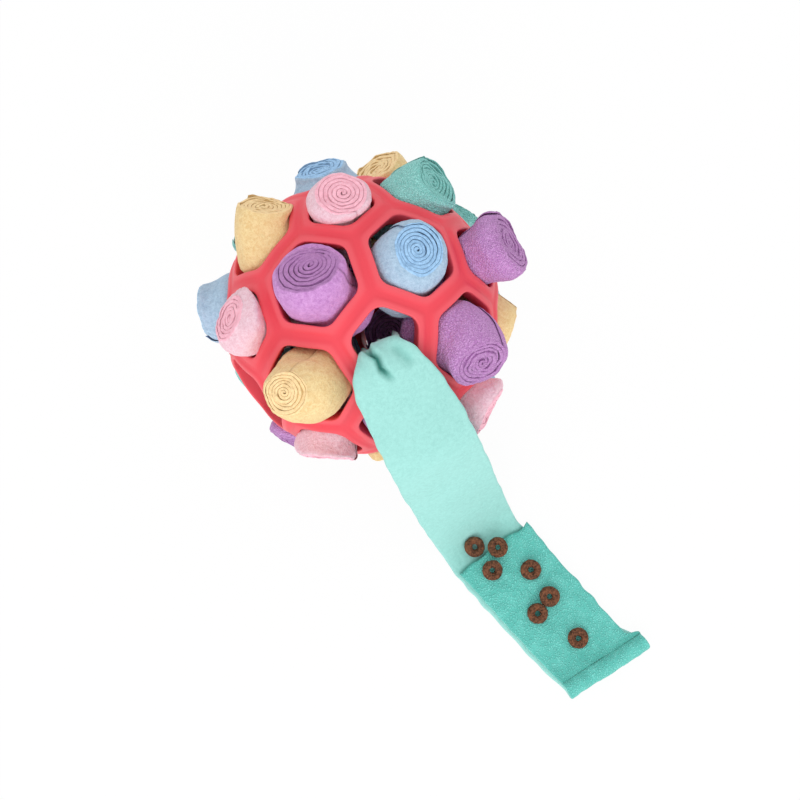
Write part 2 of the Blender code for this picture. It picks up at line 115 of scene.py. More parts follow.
# Rolls: node, how far it stands out over the roll reach (None: down to the floor), radius of
# its belly and of its outer end in millimetres, direction of its free end seen from above in
# degrees, and how far its middle stands out over the opening's radius
ROLLS = (
    ("purple_roll_1", 0.35, 15.6, 12.9, -5, -0.03),
    ("blue_roll_1", 0.35, 14.0, 10.7, 125, -0.05),
    ("pink_roll_1", 0.45, 13.7, 11.0, -60, 0.03),
    ("teal_roll_1", 0.58, 14.4, 11.9, 120, -0.1),
    ("yellow_roll_1", 0.49, 13.3, 11.3, 150, -0.06),
    ("pink_roll_2", 0.51, 14.3, 10.0, 60, -0.06),
    ("yellow_roll_2", 1.09, 13.5, 9.3, 70, 0.04),
    ("purple_roll_2", 0.74, 14.2, 11.3, 60, 0.04),
    ("purple_roll_3", 1.02, 15.2, 13.1, 130, -0.04),
    ("blue_roll_2", 0.43, 12.2, 11.0, 130, -0.05),
    ("blue_roll_3", 0.64, 13.3, 11.1, 200, -0.04),
    ("yellow_roll_3", 0.36, 12.4, 9.3, 40, -0.04),
    ("pink_roll_3", 0.7, 15.2, 11.6, 200, -0.04),
    ("pink_roll_4", 0.42, 14.0, 12.0, -20, -0.04),
    ("purple_roll_4", 0.59, 14.7, 12.4, 10, -0.04),
    ("teal_roll_2", -0.5, 14.9, 13.9, 80, -0.03),
    ("purple_roll_5", -0.1, 14.9, 13.9, 80, -0.03),
    ("yellow_roll_4", 0.18, 15.2, 13.3, 50, -0.03),
    ("teal_roll_3", 0.45, 13.4, 11.2, 150, -0.04),
    ("teal_roll_4", 0.46, 12.4, 7.7, 60, -0.04),
    ("yellow_roll_5", 0.38, 12.8, 12.0, 110, -0.06),
    ("teal_roll_5", 0.26, 13.4, 10.2, 80, -0.04),
    ("blue_roll_4", 0.85, 15.8, 13.3, 150, -0.05),
    ("teal_roll_6", 0.8, 13.4, 11.2, 10, -0.04),
    ("pink_roll_5", 0.8, 13.2, 11.2, 240, -0.05),
    ("purple_roll_6", 0.9, 15.8, 13.3, 100, -0.06),
    ("yellow_roll_6", 0.85, 15.5, 12.7, 300, 0.03),
    ("pink_roll_6", 0.8, 15.9, 13.3, 30, -0.06),
    ("blue_roll_5", None, 15.9, 13.3, 100, 0.0),
    ("purple_roll_7", None, 15.8, 13.3, 200, 0.0),
    ("yellow_roll_7", None, 13.2, 11.4, 10, 0.0),
)
# Rolls that lean: lean to the east and the north of their opening, where the outer face is
# turned in the picture (right and up, or None for along the lean), and how far the belly bows
# out to the east and the north in millimetres
UPRIGHT = ((0.0, 0.0), None, (0.0, 0.0))
LEANS = {
    "purple_roll_1": ((-0.8, 0.03), (-0.245, 0.649), (-0.6, 0.0)),
    "blue_roll_1": ((-0.13, 0.15), (0.329, 0.247), (-0.1, 0.1)),
    "pink_roll_1": ((-0.27, 0.55), (0.073, 0.522), (-0.2, 0.4)),
    "teal_roll_1": ((-0.72, 0.23), (0.744, 0.471), (-0.9, 0.3)),
    "yellow_roll_1": ((-1.51, 0.55), (0.078, 0.909), (-0.8, 0.3)),
    "pink_roll_2": ((-0.45, 0.11), (-0.772, 0.298), (-0.5, 1.6)),
    "yellow_roll_2": ((-0.29, 0.35), (-0.445, -0.17), (-0.7, 0.9)),
    "purple_roll_2": ((-0.8, 0.01), (0.4, -0.671), (-1.3, 0.0)),
    "purple_roll_3": ((-0.06, -0.02), (0.807, 0.424), (0.1, 0.0)),
    "blue_roll_2": ((0.07, 0.47), (-0.286, 0.856), (0.1, 0.5)),
    "blue_roll_3": ((0.18, -0.16), None, (0.8, -2.5)),
    "yellow_roll_3": ((-0.24, -0.1), None, (-1.3, 2.1)),
    "pink_roll_3": ((0.16, 0.0), None, (0.2, -2.0)),
    "pink_roll_4": ((0.2, 0.1), (-0.08, -0.995), (0.0, -2.2)),
    "purple_roll_4": ((-0.6, 0.09), (-0.45, -0.88), (-2.0, -1.0)),
    "teal_roll_4": ((1.4, -0.2), (0.465, 0.8), (1.5, 2.5)),
    "yellow_roll_5": ((1.79, 1.78), (-0.517, 0.715), (-1.1, -1.1)),
}
# Rolls whose heart lies off centre, over the outer radius, to the right and up in the picture
OFF_CENTRE = {
    "purple_roll_1": (0.0, 0.26),
    "blue_roll_1": (0.0, -0.05),
    "pink_roll_1": (0.0, 0.05),
    "blue_roll_4": (0.0, 0.05),
    "teal_roll_6": (0.05, 0.0),
    "purple_roll_6": (0.05, 0.0),
    "yellow_roll_6": (0.0, 0.05),
}
# Rolls with a curly pile; the others are brushed
CURLY = ("teal_roll_1", "purple_roll_2", "purple_roll_3", "purple_roll_4", "teal_roll_3",
         "teal_roll_4", "teal_roll_5", "teal_roll_6", "purple_roll_6")

# Unrolled strip, over the ball's radius from its centre: left and right edge, how much the
# middle is arched, and how much it is gathered
DRAPE = (
    ((0.025, -0.435, 0.600), (0.275, -0.315, 0.600), 0.0, 1.0),
    ((0.025, -0.455, 0.720), (0.275, -0.335, 0.720), 0.3, 0.6),
    ((0.010, -0.480, 0.835), (0.275, -0.352, 0.840), 0.8, 0.12),
    ((-0.004, -0.511, 0.905), (0.279, -0.373, 0.926), 1.1, 0.0),
    ((-0.033, -0.618, 0.925), (0.367, -0.422, 0.935), 1.3, 0.0),
    ((-0.035, -0.713, 0.895), (0.438, -0.482, 0.900), 1.3, 0.0),
    ((0.012, -0.844, 0.790), (0.549, -0.583, 0.790), 1.1, 0.0),
    ((0.068, -0.958, 0.690), (0.633, -0.682, 0.690), 1.0, 0.0),
    ((0.125, -1.070, 0.605), (0.706, -0.787, 0.605), 1.0, 0.0),
    ((0.189, -1.193, 0.470), (0.781, -0.904, 0.470), 1.0, 0.0),
    ((0.260, -1.288, 0.183), (0.861, -0.995, 0.183), 0.8, 0.0),
    ((0.335, -1.371, -0.200), (0.942, -1.075, -0.200), 0.6, 0.0),
    ((0.431, -1.482, -0.600), (1.020, -1.156, -0.600), 0.4, 0.0),
    ((0.509, -1.566, -0.860), (1.076, -1.212, -0.860), 0.2, 0.0),
    ((0.566, -1.628, -1.030), (1.111, -1.247, -1.030), 0.0, 0.0),
    ((0.617, -1.688, -1.130), (1.138, -1.281, -1.130), 0.0, 0.0),
)
# Its layers on the floor, left and right edge in the same way: the lower one from the landing
# to the lip, and the upper one from the lip back to the seam
LOWER_LAYER = (
    ((0.665, -1.755), (1.168, -1.333)),
    ((0.723, -1.834), (1.206, -1.396)),
    ((0.952, -2.094), (1.448, -1.672)),
    ((1.192, -2.354), (1.720, -1.975)),
    ((1.410, -2.585), (1.975, -2.215)),
)
LIP_MIDDLE = ((1.563, -2.722), (2.187, -2.332))
UPPER_LAYER = (
    ((1.440, -2.580), (2.055, -2.275)),
    ((1.212, -2.336), (1.972, -2.210)),
    ((1.090, -2.203), (1.735, -1.944)),
    ((0.930, -2.028), (1.494, -1.676)),
    ((0.741, -1.818), (1.277, -1.405)),
)
CROWN_RISE = 0.0016         # how far the hanging part arches across its width
GATHER_DEPTH = 0.0030       # half the depth of the gathers at its root
LAYER_GAP = 0.0005          # between its two layers on the floor
LOOP_RADIUS = 0.0029        # of the loop where it turns back
SEAM_WAVE = 0.0007          # how far its free end waves
STRIP_COLUMNS = 71          # points across one side of it
# Creases near its root: points over the ball's radius, depth and half width in metres, and
# how dark the painted shade in it is
CREASES = (
    (((0.034, -0.411), (0.069, -0.469), (0.121, -0.515), (0.153, -0.594), (0.210, -0.638),
      (0.257, -0.665)), 0.0042, 0.0012, 0.9),
    (((0.247, -0.449), (0.293, -0.489), (0.326, -0.520), (0.366, -0.567)), 0.0016, 0.0024, 0.25),
)

# Treats: node number, place over the ball's radius, layer, tilt over TREAT_TILT, turn
TREATS = (
    (1, 0.860, -1.605, 1, 0.5, 10),
    (2, 1.040, -1.612, 2, 0.0, 75),
    (3, 0.995, -1.792, 2, 1.0, 140),
    (4, 1.297, -1.786, 2, 0.0, 200),
    (5, 1.439, -1.993, 2, 0.2, 260),
    (6, 1.345, -2.126, 2, 0.0, 310),
    (7, 1.656, -2.314, 2, 0.0, 30),
)
TREAT_TILT = math.radians(20)
REST_GAP = 0.0003           # between a treat and the fleece
SEAM_TURN = math.radians(36)        # direction across the strip, which the treats tilt in
FLOOR_REACH = 40.0          # from the middle of the floor to its edges
FLOOR_DROP = 0.0002         # how far the floor lies below the fleece


def paint(red, green, blue):
    """A paint value of 0 to 255 a channel as the linear colour that shaders use."""
    shares = np.array((red, green, blue)) / 255
    return tuple(np.where(shares <= 0.04045, shares / 12.92, ((shares + 0.055) / 1.055) ** 2.4))


def unit(vectors):
    """The same directions with a length of 1."""
    return vectors / np.linalg.norm(vectors, axis=-1, keepdims=True)


def ease(values):
    """Rises smoothly from 0 to 1: 3t squared less 2t cubed, with t held between 0 and 1."""
    share = np.clip(values, 0, 1)
    return share * share * (3 - 2 * share)


def smooth_through(at, knots, values):
    """A curve through the values: a cubic between each two knots, whose slope at a knot is the
    mean slope to both neighbours, or level where these differ in sign."""
    knots, values = np.asarray(knots, float), np.asarray(values, float)
    tall = values if values.ndim == 2 else values[:, None]
    rise = np.diff(tall, axis=0) / np.diff(knots)[:, None]
    slope = np.concatenate([rise[:1], (rise[:-1] + rise[1:]) / 2, rise[-1:]])
    if values.ndim == 1:
        slope[1:-1][rise[:-1] * rise[1:] <= 0] = 0
    at = np.asarray(at, float)
    step = np.clip(np.searchsorted(knots, at, side="right") - 1, 0, len(knots) - 2)
    span = np.diff(knots)[step][:, None]
    t = ((at - knots[step]) / span[:, 0])[:, None]
    curve = (tall[step] * (1 + 2 * t) * (1 - t) ** 2 + tall[step + 1] * t * t * (3 - 2 * t)
             + slope[step] * span * t * (1 - t) ** 2 - slope[step + 1] * span * t * t * (1 - t))
    return curve if values.ndim == 2 else curve[:, 0]


def rotation(axis, angle):
    """The matrix of a turn about the x, y or z axis: 0, 1 or 2."""
    first, second = (axis + 1) % 3, (axis + 2) % 3
    turn = np.eye(3)
    turn[first, first] = turn[second, second] = math.cos(angle)
    turn[first, second], turn[second, first] = -math.sin(angle), math.sin(angle)
    return turn


def ripple(points, size, seed):
    """Smooth noise of about -1 to 1: a sum of twelve sines of random direction and phase,
    whose wavelengths lie round size."""
    waves = 12
    random = np.random.default_rng(seed)
    headings = unit(random.normal(size=(waves, 3))) / (size * random.uniform(0.7, 1.5, (waves, 1)))
    phases = random.uniform(0, 2 * math.pi, waves)
    flat = points.reshape(-1, 3)
    return (np.sin(flat @ headings.T * 2 * math.pi + phases).sum(axis=1)
            / math.sqrt(waves)).reshape(points.shape[:-1])


def ripples(points, waves, seed):
    """The sum of several ripples, each given by its size, its height and its own seed, which
    is counted on from the piece's."""
    return sum(ripple(points, size, seed + own) * height for size, height, own in waves)


def bell(away, reach):
    """1 where away is 0, falling smoothly to about a third at reach and almost to 0 at twice."""
    return np.exp(-(away / reach) ** 2)


def pebbles(points, size, seed):
    """Rounded lumps that stand out up to 0.6 and sink by 0.4 between them: one less the
    squared distance, in sizes, to the nearest of one scattered middle in each cube of a
    lattice, less the mean."""
    flat = points.reshape(-1, 3) / size
    cell = np.floor(flat)
    nearest = np.full(len(flat), 4.0)
    for offset in itertools.product((-1, 0, 1), repeat=3):
        corner = cell + offset
        mixed = np.sin(corner @ np.array(((127.1, 269.5, 113.5), (311.7, 183.3, 271.9),
                                          (74.7, 246.1, 124.6))) + seed) * 43758.5453
        middle = corner + 0.5 + (mixed - np.floor(mixed) - 0.5) * 0.8
        nearest = np.minimum(nearest, ((middle - flat) ** 2).sum(axis=1))
    return np.clip(1 - nearest, 0, 1).reshape(points.shape[:-1]) - PEBBLE_MEAN


def grid_quads(rows, columns, close_rows=False, close_columns=False):
    """Four-sided faces of a grid of points, with its last row or column joined to its first."""
    number = np.arange(rows * columns).reshape(rows, columns)
    if close_rows:
        number = np.concatenate([number, number[:1]])
    if close_columns:
        number = np.concatenate([number, number[:, :1]], axis=1)
    return np.stack([number[:-1, :-1], number[:-1, 1:], number[1:, 1:], number[1:, :-1]],
                    axis=-1).reshape(-1, 4)


def add_piece(name, points, quads, finish, maps=None, sides=None):
    """A smooth-shaded piece from points and faces, with its place in its mesh. Maps are values
    at the points that its finish reads, and sides are the two lengths of its UV map."""
    mesh = bpy.data.meshes.new(name)
    mesh.vertices.add(len(points))
    mesh.vertices.foreach_set("co", points.astype(np.float32).ravel())
    mesh.loops.add(quads.size)
    mesh.loops.foreach_set("vertex_index", quads.astype(np.int32).ravel())
    mesh.polygons.add(len(quads))
    mesh.polygons.foreach_set("loop_start", np.arange(0, quads.size, 4, dtype=np.int32))
    if sides is not None:
        layer = mesh.uv_layers.new(name="cloth")
        layer.uv.foreach_set("vector", sides[quads.ravel()].astype(np.float32).ravel())
    for map_name, values in (maps or {}).items():
        mesh.attributes.new(map_name, "FLOAT", "POINT").data.foreach_set(
            "value", values.astype(np.float32).ravel())
    mesh.update(calc_edges=True)
    mesh.validate()
    mesh.shade_smooth()
    mesh.materials.append(finish)
    piece = bpy.data.objects.new(name, mesh)
    bpy.context.scene.collection.objects.link(piece)
    return piece


def tidy_surface(piece, distance):
    """Joins points that coincide and turns every face outwards."""
    shape = bmesh.new()
    shape.from_mesh(piece.data)
    bmesh.ops.remove_doubles(shape, verts=shape.verts[:], dist=distance)
    bmesh.ops.dissolve_degenerate(shape, edges=shape.edges[:], dist=distance)
    bmesh.ops.recalc_face_normals(shape, faces=shape.faces[:])
    shape.to_mesh(piece.data)
    shape.free()
    return piece


class Tone:
    """A socket of a finish, so that maths on it reads as a plain expression."""

    def __init__(self, finish, socket):
        self.finish = finish
        self.socket = socket

    def maths(self, operation, first, second):
        return self.finish.node("ShaderNodeMath", {"operation": operation}, {0: first, 1: second})

    def __add__(self, other):
        return self.maths("ADD", self, other)

    def __radd__(self, other):
        return self.maths("ADD", other, self)

    def __sub__(self, other):
        return self.maths("SUBTRACT", self, other)

    def __rsub__(self, other):
        return self.maths("SUBTRACT", other, self)

    def __mul__(self, other):
        return self.maths("MULTIPLY", self, other)

    def __rmul__(self, other):
        return self.maths("MULTIPLY", other, self)


class Finish:
    """A material that is written as expressions on its sockets."""

    def __init__(self, name):
        self.material = bpy.data.materials.new(name)
        self.material.use_nodes = True
        self.tree = self.material.node_tree
        self.tree.nodes.clear()
        self.places = self.node("ShaderNodeTexCoord", output="Object")

    def node(self, kind, settings=None, sockets=None, output=0):
        """Makes a node: its settings first, then the values or links of its sockets."""
        made = self.tree.nodes.new(kind)
        for setting, value in (settings or {}).items():
            setattr(made, setting, value)
        known = {socket.identifier: socket for socket in made.inputs}
        for key, value in (sockets or {}).items():
            socket = known.get(key) or made.inputs[key]
            if isinstance(value, Tone):
                self.tree.links.new(value.socket, socket)
            elif value is not None:
                socket.default_value = value
        found = {socket.identifier: socket for socket in made.outputs}
        if isinstance(output, int) and made.outputs:
            return Tone(self, made.outputs[output])
        return Tone(self, found.get(output))

    def noise(self, size, detail=2.0, rough=0.5, stretch=0.0):
        """Cloudy noise of about 0 to 1 whose lumps are of that size in metres."""
        return self.node("ShaderNodeTexNoise", sockets={
            "Vector": self.places, "Scale": 1 / size, "Detail": detail, "Roughness": rough,
            "Distortion": stretch})

    def cells(self, size):
        """Distance to the nearest of scattered points that lie about size apart."""
        return self.node("ShaderNodeTexVoronoi", sockets={
            "Vector": self.places, "Scale": 1 / size}, output="Distance")

    def between(self, value, low, high):
        """0 below low, 1 above high, and smooth between them."""
        settings = {"interpolation_type": "SMOOTHSTEP", "clamp": True}
        return self.node("ShaderNodeMapRange", settings, {
            "Value": value, "From Min": low, "From Max": high, "To Min": 0.0, "To Max": 1.0})

    def blend(self, share, first, second):
        """One colour that turns into another as share goes from 0 to 1."""
        return self.node("ShaderNodeMix", {"data_type": "RGBA", "clamp_factor": True}, {
            "Factor_Float": share, "A_Color": first, "B_Color": second}, output="Result_Color")

    def read(self, name):
        """The value that the piece's own map of that name has."""
        return self.node("ShaderNodeAttribute", {"attribute_name": name}, output="Fac")

    def bump(self, height, depth, strength=1.0, over=None):
        """Small relief whose height of 0 to 1 is depth metres."""
        return self.node("ShaderNodeBump", sockets={
            "Strength": strength, "Distance": depth, "Height": height, "Normal": over},
            output="Normal")

    def surface(self, colour, roughness, normal=None, **fixed):
        """The principled shader, with what stays the same all over set on its own sockets."""
        sockets = {"Base Color": colour, "Roughness": roughness, "Normal": normal}
        sockets.update({key.replace("_", " "): value for key, value in fixed.items()})
        shader = self.node("ShaderNodeBsdfPrincipled", sockets=sockets)
        self.node("ShaderNodeOutputMaterial", sockets={"Surface": shader})
        return self.material

    def fleece(self, tone, roughness, relief, colour, shine, sheen, spread):
        """The dull surface of fleece, with a soft paler sheen where it is seen aslant."""
        return self.surface(tone, roughness, relief, Specular_IOR_Level=shine,
                            Sheen_Weight=sheen, Sheen_Roughness=spread,
                            Sheen_Tint=(*(0.6 + 0.4 * np.array(colour)), 1.0))

    def cut_face(self, light, colour, face, dark, pale):
        """Colour of a roll's cut face, from the side's colour and the tones of its face."""
        return self.blend(light, deepened(colour, face[0] * 1.12, face[1] * dark),
                          deepened(colour, face[0] * 0.95, face[1] * pale))

    def seam_shading(self):
        """Painted shade where one turn meets the next: the piece's own map of it, made uneven."""
        uneven = self.noise(0.0011, 2.0, 0.6) * 0.5 + self.read("seam")
        return self.between(uneven, 0.45, 1.20)


def opaque(colour, share=1.0):
    """A colour of three numbers, darkened to a share of itself, as four."""
    return tuple(min(channel * share, 1.0) for channel in colour) + (1.0,)


def deepened(colour, power, share=1.0):
    """The same hue more saturated: each channel raised to a power."""
    return tuple(share * channel ** power for channel in colour) + (1.0,)


def rubber_finish(colour):
    """Satin moulded rubber: faint bloom in patches, painted highlight on each lip, fine grain."""
    finish = Finish("coral_rubber_satin")
    bloom = finish.noise(0.022, 3.0, 0.55)
    grain = finish.noise(0.0007, 2.0, 0.6)
    speck = finish.between(finish.noise(0.0016, 1.0, 0.5), 0.70, 0.80)
    # The lip map is a painted highlight: the rim of each opening is drawn paler
    rim_highlight = finish.read("lip")
    tone = finish.blend(bloom * 0.9, opaque(colour, 0.84), opaque(colour, 0.98))
    pale = tuple(0.88 * channel + 0.12 for channel in colour)
    tone = finish.blend(rim_highlight * 0.42 + speck * 0.06, tone, opaque(pale))
    relief = finish.bump(grain, 0.00006, 0.6)
    waves = finish.bump(finish.noise(0.006, 2.0, 0.5), 0.00025, 0.5, relief)
    return finish.surface(tone, 0.40 + bloom * 0.14 - rim_highlight * 0.05, waves,
                          Specular_IOR_Level=0.30)


def brushed_finish(name, colour, face):
    """Brushed fleece: a short soft nap with faint pills, a deeper colour on the cut face, and
    painted shade where one turn meets the next."""
    finish = Finish(name)
    wear = finish.noise(0.009, 2.0, 0.5)
    tufts = finish.noise(0.0017, 3.0, 0.6, stretch=0.4)
    fibres = finish.noise(0.00050, 3.0, 0.7, stretch=1.0)
    nap = finish.between(tufts * 0.45 + fibres * 0.55, 0.34, 0.66)
    tone = finish.blend(nap, deepened(colour, 1.38, 0.86), opaque(colour, 1.09))
    tone = finish.blend(finish.between(wear, 0.42, 0.72) * 0.18, tone, opaque(colour, 1.10))
    tone = finish.blend(finish.read("cut"), tone, finish.cut_face(nap, colour, face, 0.84, 1.10))
    # Painted shade where one turn meets the next
    tone = finish.blend(finish.seam_shading() * 0.56, tone,
                        deepened(colour, face[0] * 1.5, face[1] * 0.52))
    relief = finish.bump(fibres, 0.0005, 0.55)
    relief = finish.bump(tufts, 0.0011, 0.55, relief)
    return finish.fleece(tone, 0.92 + nap * 0.06, relief, colour, 0.08, 0.20, 0.45)


def pebbled_finish(name, colour, face):
    """Curly pile: tight curls, paler on top with painted shade between them, over a fibrous nap."""
    finish = Finish(name)
    round_top = 1 - finish.between(finish.cells(0.00085), 0.15, 0.75)
    fibres = finish.noise(0.00050, 3.0, 0.75)
    tufts = finish.noise(0.0012, 2.0, 0.6)
    patches = finish.noise(0.007, 2.0, 0.5)
    # Pale curl tops and dark hollows: partly the pile's own mottling, partly painted shade between
    # curls
    light = finish.between(round_top * 0.20 + fibres * 0.50 + tufts * 0.30, 0.22, 0.74)
    tone = finish.blend(light, deepened(colour, 1.45, 0.70), opaque(colour, 1.14))
    tone = finish.blend(finish.between(patches, 0.4, 0.7) * 0.15, tone, opaque(colour, 1.15))
    edge = finish.cut_face(light, colour, face, 0.80, 1.15)
    tone = finish.blend(finish.read("cut") * 0.6, tone, edge)
    # Painted shade where one turn meets the next
    tone = finish.blend(finish.seam_shading() * 0.55, tone, deepened(colour, 1.9, 0.50))
    relief = finish.bump(fibres, 0.0005, 0.6)
    relief = finish.bump(round_top, 0.0008, 0.6, relief)
    return finish.fleece(tone, 0.90 + light * 0.08, relief, colour, 0.10, 0.25, 0.5)


def strip_finish(smooth, pebbly):
    """The unrolled strip: one side brushed very smooth, the other with a fine pebbly pile,
    which also comes round the cut edges, and painted shade in the creases, by the loop and
    along the free end."""
    finish = Finish("mint_fleece_two_sided")
    pile = finish.read("pile")
    crease = finish.read("crease")
    wear = finish.noise(0.014, 2.0, 0.5)
    tufts = finish.noise(0.0017, 3.0, 0.6, stretch=0.4)
    fibres = finish.noise(0.00045, 3.0, 0.7, stretch=1.0)
    nap = finish.between(tufts * 0.5 + fibres * 0.5, 0.32, 0.68)
    round_top = 1 - finish.between(finish.cells(0.0010), 0.12, 0.62)
    patches = finish.noise(0.006, 3.0, 0.55)
    # Curls of the pebbly side: paler tops and darker hollows, partly mottling and partly painted
    # shade
    light = finish.between(round_top * 0.25 + fibres * 0.40 + patches * 0.35, 0.28, 0.72)
    plain = finish.blend(nap, deepened(smooth, 1.10, 0.92), opaque(smooth, 1.05))
    plain = finish.blend(finish.between(wear, 0.4, 0.7) * 0.2, plain, opaque(smooth, 1.06))
    curly = finish.blend(light, deepened(pebbly, 1.25, 0.86), opaque(pebbly, 1.22))
    tone = finish.blend(pile, plain, curly)
    # Painted shade in the creases, beside the loop and along the free end
    tone = finish.blend(crease, tone, deepened(pebbly, 1.7, 0.55))
    relief = finish.bump(fibres, 0.0003, 0.4)
    relief = finish.bump(tufts, 0.0005, 0.35, relief)
    relief = finish.bump(round_top * pile, 0.0008, 0.6, relief)
    return finish.fleece(tone, 0.92 + nap * 0.06, relief, smooth, 0.10, 0.2, 0.45)


def biscuit_finish(colour):
    """Baked treat: dark brown crust with paler crumbs, pits and a dull surface."""
    finish = Finish("brown_biscuit_crust")
    crumbs = finish.noise(0.0010, 4.0, 0.7)
    pits = finish.cells(0.0009)
    baked = finish.noise(0.004, 2.0, 0.5)
    tone = finish.blend(finish.between(crumbs, 0.36, 0.66), opaque(colour, 0.38),
                        opaque(colour, 1.75))
    tone = finish.blend(finish.between(baked, 0.45, 0.7) * 0.5, tone,
                        opaque((colour[0] * 2.1, colour[1] * 1.9, colour[2] * 1.7)))
    relief = finish.bump(crumbs, 0.0007, 0.9)
    relief = finish.bump(finish.between(pits, 0.1, 0.45), 0.0004, 0.6, relief)
    return finish.surface(tone, 0.72 + crumbs * 0.2, relief, Specular_IOR_Level=0.3)


def floor_finish():
    """Matte white: the camera sees it lit evenly, and it keeps a part of the shadow."""
    finish = Finish("white_paper")
    matte = finish.node("ShaderNodeBsdfDiffuse", sockets={"Color": (1, 1, 1, 1)})
    even = finish.node("ShaderNodeEmission", sockets={"Color": (1, 1, 1, 1), "Strength": 1.0})
    seen, glossy, through = (finish.node("ShaderNodeLightPath", output=f"Is {ray} Ray")
                             for ray in ("Camera", "Glossy", "Transmission"))
    share = (seen + glossy + through) * 0.95
    mixed = finish.node("ShaderNodeMixShader", sockets={0: share, 1: matte, 2: even})
    finish.node("ShaderNodeOutputMaterial", sockets={"Surface": mixed})
    return finish.material


def ball_openings():
    """Sides, axis and corners of each opening: pentagons at an icosahedron's corners and
    hexagons at its faces, their corners a third of the way along its edges, turned as the
    ball lies."""
    shape = bmesh.new()
    bmesh.ops.create_icosphere(shape, subdivisions=1, radius=1)
    corners = np.array([vert.co for vert in shape.verts])
    faces = np.array([[vert.index for vert in face.verts] for face in shape.faces])
    shape.free()
    turn = (rotation(2, STRIP_AZIMUTH) @ rotation(1, math.pi / 2 - STRIP_ELEVATION)
            @ rotation(2, BALL_TWIST))
    corners = unit(corners) @ turn.T
    edge = np.linalg.norm(corners[faces[0, 0]] - corners[faces[0, 1]])
    openings = []
    for corner in corners:
        near = corners[np.isclose(np.linalg.norm(corners - corner, axis=1), edge, rtol=0.02)]
        openings.append((5, corner, unit(corner * 2 / 3 + near / 3)))
    for face in faces:
        trio = corners[face]
        ends = [trio[i] * 2 / 3 + trio[j] / 3 for i in range(3) for j in range(3) if i != j]
        openings.append((6, unit(trio.mean(axis=0)), unit(np.array(ends))))
    sorted_openings = []
    for sides, axis, ends in openings:
        east, north = opening_sides(axis)
        order = np.argsort(np.arctan2(ends @ north, ends @ east))
        sorted_openings.append((sides, axis, ends[order]))
    return sorted_openings


def opening_sides(axis):
    """The east and north directions square to an opening's axis."""
    east = unit(np.cross((0.0, 0.0, 1.0), axis))
    return east, np.cross(axis, east)


def rounded_outline(angle, first_corner, sides, inradius, rounding):
    """Distance from the middle of an opening to its rim: a regular polygon whose corners are
    arcs. Along a side it is the inradius over the cosine of the angle to the side's middle,
    and past the arc's start it is the far crossing of the arc's circle."""
    turn = 2 * math.pi / sides
    off_corner = (angle - first_corner + turn / 2) % turn - turn / 2
    middle = (inradius - rounding) / math.cos(turn / 2)
    start = math.atan2((inradius - rounding) * math.tan(turn / 2), inradius)
    side = inradius / np.cos(turn / 2 - abs(off_corner))
    arc = middle * np.cos(off_corner) + np.sqrt(
        np.maximum(rounding ** 2 - (middle * np.sin(off_corner)) ** 2, 0))
    return np.where(turn / 2 - abs(off_corner) < start, side, arc)


def collar(sides, axis, ends, sizes):
    """The rubber round one opening as a grid: columns run round it, and rows run from the
    middle of the struts over the lip, down the wall and back along the inside."""
    per_side = sizes.steps_round // sides
    following = np.roll(ends, -1, axis=0)
    share = np.arange(per_side)[:, None] / per_side
    line = unit((ends[:, None] * (1 - share) + following[:, None] * share).reshape(-1, 3))
    east, north = opening_sides(axis)
    angle = np.arctan2(line @ north, line @ east)
    corner = math.atan2(ends[0] @ north, ends[0] @ east)
    inradius = sizes.radius / UNIT_CIRCUMRADIUS * UNIT_INRADIUS[sides] - sizes.strut_width / 2
    rim = rounded_outline(angle, corner, sides, inradius, sizes.corner_rounding)
    out = np.cos(angle)[:, None] * east + np.sin(angle)[:, None] * north
    proud = sizes.radius + sizes.lip_rise
    crest = rim + sizes.strut_rounding
    crest_height = np.sqrt(proud ** 2 - crest ** 2)
    brow_height = np.sqrt(proud ** 2 - rim ** 2) + 0.0001
    crest_points = out * crest[:, None] + axis * crest_height[:, None]
    rows, lip = [], []

    # Each row also carries a share of painted highlight, strongest along the lip
    def add_row(row, highlight_share=0.0):
        rows.append(row)
        lip.append(np.full(len(line), highlight_share))

    for part in np.linspace(0, 1, 8)[:-1]:
        heading = unit(line * (1 - part) + unit(crest_points) * part)
        add_row(heading * (sizes.radius + sizes.lip_rise * ease((part - 0.15) / 0.6)),
                0.75 * ease((part - 0.30) / 0.6))
    down_height = brow_height - sizes.strut_rounding * 1.15
    for part in np.linspace(0, 1, 9):
        reach = crest * (1 - part) ** 2 + rim * (1 - (1 - part) ** 2)
        height = (crest_height * (1 - part) ** 2 + brow_height * 2 * part * (1 - part)
                  + down_height * part ** 2)
        add_row(out * reach[:, None] + axis * height[:, None],
                (0.75 + 0.25 * math.sin(math.pi * part)) * (1 - part ** 2))
    inner_line = line * (sizes.radius - sizes.wall)
    turned = sizes.strut_rounding * 0.8
    back = np.sqrt((sizes.radius - sizes.wall) ** 2 - rim ** 2)
    for part in (0.33, 0.66, 1.0):
        height = down_height * (1 - part) + (back + turned) * part
        add_row(out * rim[:, None] + axis * height[:, None])
    inside = out * (rim + turned)[:, None] + axis * np.sqrt(
        (sizes.radius - sizes.wall) ** 2 - (rim + turned) ** 2)[:, None]
    low = out * rim[:, None] + axis * (back + turned)[:, None]
    foot = out * rim[:, None] + axis * back[:, None]
    for part in (0.25, 0.5, 0.75, 1.0):
        add_row(low * (1 - part) ** 2 + foot * 2 * part * (1 - part) + inside * part ** 2)
    for part in (0.5, 1.0):
        add_row(inside * (1 - part) + inner_line * part)
    return np.stack(rows), np.stack(lip)


def roll_spiral(turns, steps):
    """A strip's middle line from the heart to the free end: the radius, as a share of the
    roll's, grows evenly with the angle, and the points lie evenly along it."""
    heart = 0.06
    share = np.sqrt(np.linspace(heart ** 2, 1, steps))
    return share, (share - heart) / (1 - heart) * turns * 2 * math.pi


